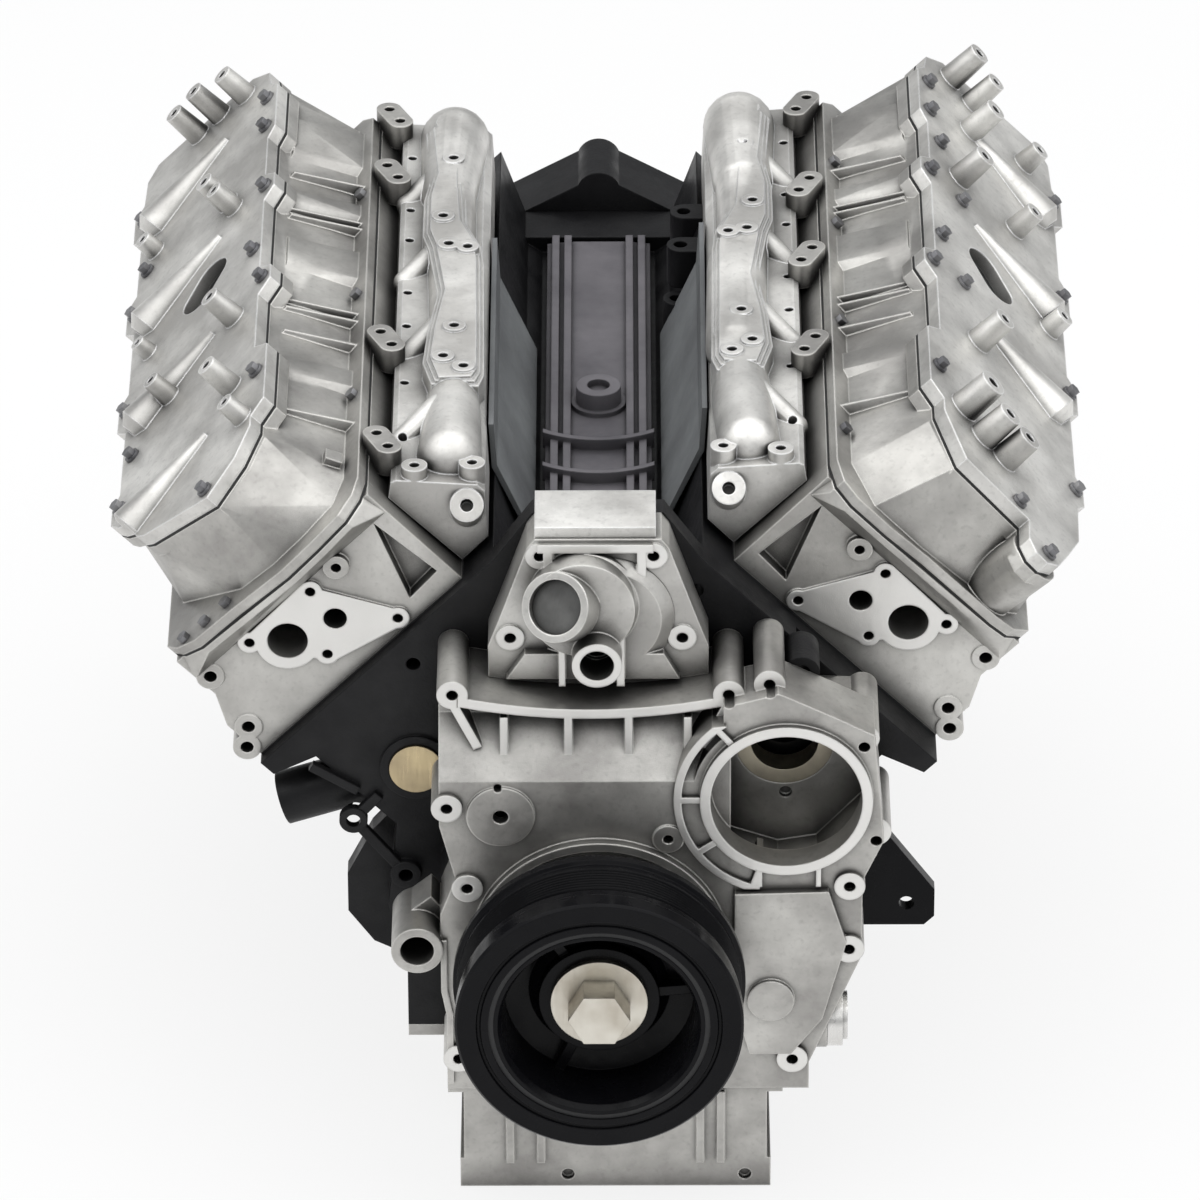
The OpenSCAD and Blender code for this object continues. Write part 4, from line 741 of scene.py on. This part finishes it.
def casting(side):
    solids = [slab(CASTING_SECTION, *CASTING_SPAN),
              prism(PLENUM, CASTING_TOP - 4, PLENUM_TOP - 6),
              prism(drawn_in(PLENUM, 3), PLENUM_TOP - 7, PLENUM_TOP - 3),
              prism(drawn_in(PLENUM, 6), PLENUM_TOP - 6, PLENUM_TOP)]
    for x0, y0, r0, x1, y1, r1 in LOBES[side]:
        solids.append(hull(ball(x0, y0, CASTING_TOP + 2, r0), ball(x1, y1, CASTING_TOP + 2, r1)))
    solids += [runner(y) for y in CYLINDERS]
    tools = []
    for x, y in PLENUM_BOSSES:
        solids.append(rod(x, y, 9, PLENUM_TOP - 6, PLENUM_TOP + 2))
        tools.append(rod(x, y, 4, PLENUM_TOP - 16, PLENUM_TOP + 3, HOLE_SIDES))
    # Slanted lug at the front corner on the valley's side
    aim = (Matrix.Translation((100, 22, CASTING_TOP - 22))
           @ Matrix.Rotation(math.radians(50.0), 4, "X"))
    solids.append(moved(rod(0, 0, 13, -22, 14), aim))
    tools.append(moved(rod(0, 0, 5, 2, 14 + SINK, HOLE_SIDES), aim))
    for x, y in FRONT_BOSSES:
        solids.append(rod(x, y, 10, CASTING_TOP - 8, CASTING_TOP + 12))
        tools.append(rod(x, y, 4, CASTING_TOP - 2, CASTING_TOP + 13, HOLE_SIDES))
    for y in EDGE_HOLES:
        tools.append(rod(CASTING_OUT - 4, y, 3.6, CASTING_TOP - 8, CASTING_TOP + 30,
                         SMALL_HOLE_SIDES))
    return cut(union(*solids), *tools)


# Two-hole clamp that bridges the groove, its long axis slanting forward towards the valley
def clamp(y):
    ends = [rod(CLAMP_AT + 5 * way, y + 11 * way, 10, CLAMP_FOOT, CLAMP_TOP) for way in (1, -1)]
    holes = [rod(CLAMP_AT + 0.45 * d, y + d, 4.2, CLAMP_TOP - 8, CLAMP_TOP + SINK, HOLE_SIDES)
             for d in (-10, 10)]
    return cut(hull(*ends), *holes)


for side, word in SIDE_NAMES.items():
    put("intake_casting_" + word, "light_cast", casting(side), on_side(side),
        ["intake_manifold_" + word])
clamps = [moved(clamp(y), on_side(side)) for side in SIDE_NAMES for y in CLAMPS[side]]
put("clamps", "cast_aluminium", union(*clamps), nodes=["manifold_clamps"])


# Upright lugs along the right wall of the valley: place in X and Y, top
VALLEY_LUGS = [(70, -190, 300), (67, -242, 298), (64, -266, 262)]
LUG_R = 12
LUG_HEIGHT = 34


def valley_lugs():
    solids, tools = [], []
    for x, y, top in VALLEY_LUGS:
        foot = top - LUG_HEIGHT
        root = box((x, y - LUG_R, foot), (x + 15, y + LUG_R, top))
        solids.append(hull(rod(x, y, LUG_R, foot, top), root))
        tools.append(rod(x - 1, y, 5.5, top - 12, top + SINK, HOLE_SIDES))
    return cut(union(*solids), *tools)


put("valley_lugs", "black_iron", valley_lugs())


# Straight bar between two places, as an outline
def bar(a, b, width):
    run = Vector((b[0] - a[0], b[1] - a[1])).normalized() * (width / 2)
    return [(a[0] + run.y, a[1] - run.x), (b[0] + run.y, b[1] - run.x),
            (b[0] - run.y, b[1] + run.x), (a[0] - run.y, a[1] + run.x)]


# Front cover, in X and Z: wall and webs round the pump ring, and the part of them that is there
PUMP = (143.0, 135.0)
VOLUTE_R = 86.0
VOLUTE_WALL = 6
WEB_TURNS = [130, 180, 215, 252]
WEB_FROM = 62
WEB_TO = 82
VOLUTE_SPAN = [(-4, 0), (-46, 66), (-100, 60), (-100, -60), (-60, -80), (-20, -80)]
# Bolt bosses round the cover's edge, the bulge below the ring with its disc, and the lip
EDGE_BOSSES = [(192, 57), (192, 0), (149, -101), (-116, 128), (-101, 56), (-109, -100)]
SHORT_RIBS = [PUMP[0] - 20, PUMP[0] + 25]
BULGE = [(104, 52), (176, 54), (190, 8), (172, -62), (148, -94), (116, -94), (104, -50)]
BULGE_DISC = (132, -43, 18)
LIP = [((-119.5, 8), (-119.5, -38)), ((-119.5, -38), (-115.5, -60)),
       ((-115.5, -58), (-115.5, -124))]


def volute():
    low, high = COVER_FACE - 4, COVER_FACE + 36
    inside = rod_y(*PUMP, VOLUTE_R - VOLUTE_WALL, low - SINK, high + SINK, RING_SIDES)
    solids = [cut(rod_y(*PUMP, VOLUTE_R, low, high, RING_SIDES), inside)]
    for turn in WEB_TURNS:
        way = Vector((math.cos(math.radians(turn)), math.sin(math.radians(turn))))
        web = bar(Vector(PUMP) + WEB_FROM * way, Vector(PUMP) + WEB_TO * way, 5)
        solids.append(slab(web, low, high))
    span = [(PUMP[0] + x, PUMP[1] + z) for x, z in VOLUTE_SPAN]
    return meet(union(*solids), slab(span, low - SINK, high + SINK))


def cover_trim():
    solids = [volute()]
    for x, z in EDGE_BOSSES:
        solids.append(rod_y(x, z, 12, COVER_FACE - 4, COVER_FACE + 40))
    for x in SHORT_RIBS:
        rib = [(x - 2, 57), (x + 2, 57), (x + 2, 75), (x - 2, 75)]
        solids.append(slab(rib, COVER_FACE - 4, COVER_FACE + 20))
    solids.append(slab(BULGE, COVER_FACE - 7, COVER_FACE + SINK))
    solids.append(rod_y(*BULGE_DISC, COVER_FACE - 11, COVER_FACE))
    for a, b in LIP:
        solids.append(slab(bar(a, b, 5), COVER_FACE - 3, COVER_FACE + SINK))
    holes = [rod_y(x, z, 4.5, COVER_FACE - 5, COVER_FACE + 41, HOLE_SIDES)
             for x, z in EDGE_BOSSES]
    return cut(union(*solids), *holes)


put("cover_trim", "cover_cast", cover_trim())


# Gear housing, in X and Z. Each rise is measured forward from the housing's face.
# Spiral bulge: two domes, each from a wide disc to a narrow one: place, radius, rise
DOMES = [[(-10, 280, 44, 6), (-10, 280, 36, 14)], [(6, 266, 52, 1), (6, 268, 42, 9)]]
# Two straight ribs and the foot: outline, rise
HOUSING_RIBS = [
    ([(14, 216), (20, 216), (20, 290), (14, 300)], 20),
    ([(-30, 216), (-25, 216), (-25, 262), (-30, 262)], 20),
    ([(-70, 216), (62, 216), (50, 238), (-56, 238)], 9),
]
# Frame under the top bar, the right wing at the housing's foot, and the outlet's bore
TOP_FRAME = [((-46, 328), (42, 328)), ((-38, 326), (-38, 304)), ((33, 326), (33, 304))]
WING = [(70, 218), (85, 218), (83, 224), (72, 244)]
OUTLET_BORE = (-1, 246, 13)


def housing_trim():
    back = HOUSING_FACE + SINK
    solids = []
    for dome in DOMES:
        discs = [rod_y(x, z, r, HOUSING_FACE - rise, back, DOME_SIDES) for x, z, r, rise in dome]
        solids.append(hull(*discs))
    solids += [slab(outline, HOUSING_FACE - rise, back) for outline, rise in HOUSING_RIBS]
    solids += [slab(bar(a, b, 7), HOUSING_FACE - 5, back) for a, b in TOP_FRAME]
    for way in (-1, 1):
        solids.append(slab([(way * x, z) for x, z in WING], BLOCK_FRONT - 8, BLOCK_FRONT))
    return cut(union(*solids), rod_y(*OUTLET_BORE, HOUSING_FACE - 41, HOUSING_FACE - 4))


put("housing_trim", "housing_cast", housing_trim())


# Floor and light, in metres and watts
FLOOR_Z = cad_box[0][2]
FLOOR_HALF = 30.0
FLOOR_COLOR = (0.86, 0.86, 0.86, 1.0)
WHITE = (1.0, 1.0, 1.0, 1.0)
# Share of plain white in what the camera, glossy and transmission rays see of the floor
FLOOR_GLOW = 0.8
WORLD_COLOR = (0.96, 0.98, 1.0, 1.0)
WORLD_STRENGTH = 0.32
# Square lamps: place, what they aim at, size, power
LAMPS = {
    "top_box": ((0.0, -0.4, 2.7), (0.0, -0.4, 0.0), 5.4, 134.0),
    "left_box": ((-2.6, -1.2, 2.0), (0.0, -0.4, 0.1), 3.0, 24.0),
    "right_box": ((2.6, -1.2, 2.0), (0.0, -0.4, 0.1), 3.0, 27.0),
    "front_box": ((0.3, -4.2, 2.0), (0.0, -0.6, 0.0), 2.2, 12.0),
}


def make_floor():
    tree = Tree("floor")
    path = tree.add("ShaderNodeLightPath")
    seen = tree.math("MAXIMUM", path.outputs["Is Camera Ray"], path.outputs["Is Glossy Ray"])
    seen = tree.math("MAXIMUM", seen, path.outputs["Is Transmission Ray"])
    matt = tree.add("ShaderNodeBsdfDiffuse", {"Color": FLOOR_COLOR})
    glow = tree.add("ShaderNodeEmission", {"Color": WHITE, "Strength": 1.0})
    share = tree.math("MULTIPLY", seen, FLOOR_GLOW)
    blend = tree.add("ShaderNodeMixShader", {0: share, 1: matt.outputs[0], 2: glow.outputs[0]})
    tree.add("ShaderNodeOutputMaterial", {"Surface": blend.outputs[0]})
    mesh = bpy.data.meshes.new("floor")
    corners = [(-1, -1), (1, -1), (1, 1), (-1, 1)]
    points = [(FLOOR_HALF * x, FLOOR_HALF * y, FLOOR_Z) for x, y in corners]
    mesh.from_pydata(points, [], [(0, 1, 2, 3)])
    mesh.materials.append(tree.material)
    floor = bpy.data.objects.new("floor", mesh)
    scene.collection.objects.link(floor)


def make_world():
    world = bpy.data.worlds.new("studio")
    world.use_nodes = True
    scene.world = world
    nodes, links = world.node_tree.nodes, world.node_tree.links
    nodes.clear()
    lit = nodes.new("ShaderNodeBackground")
    lit.inputs["Color"].default_value = WORLD_COLOR
    lit.inputs["Strength"].default_value = WORLD_STRENGTH
    output = nodes.new("ShaderNodeOutputWorld")
    links.new(lit.outputs[0], output.inputs["Surface"])


def make_lamps():
    for name, (place, aim, size, power) in LAMPS.items():
        data = bpy.data.lights.new(name, "AREA")
        data.size = size
        data.energy = power
        lamp = bpy.data.objects.new(name, data)
        turn = (Vector(aim) - Vector(place)).to_track_quat("-Z", "Y").to_matrix().to_4x4()
        lamp.matrix_world = Matrix.Translation(place) @ turn
        scene.collection.objects.link(lamp)


make_floor()
make_world()
make_lamps()
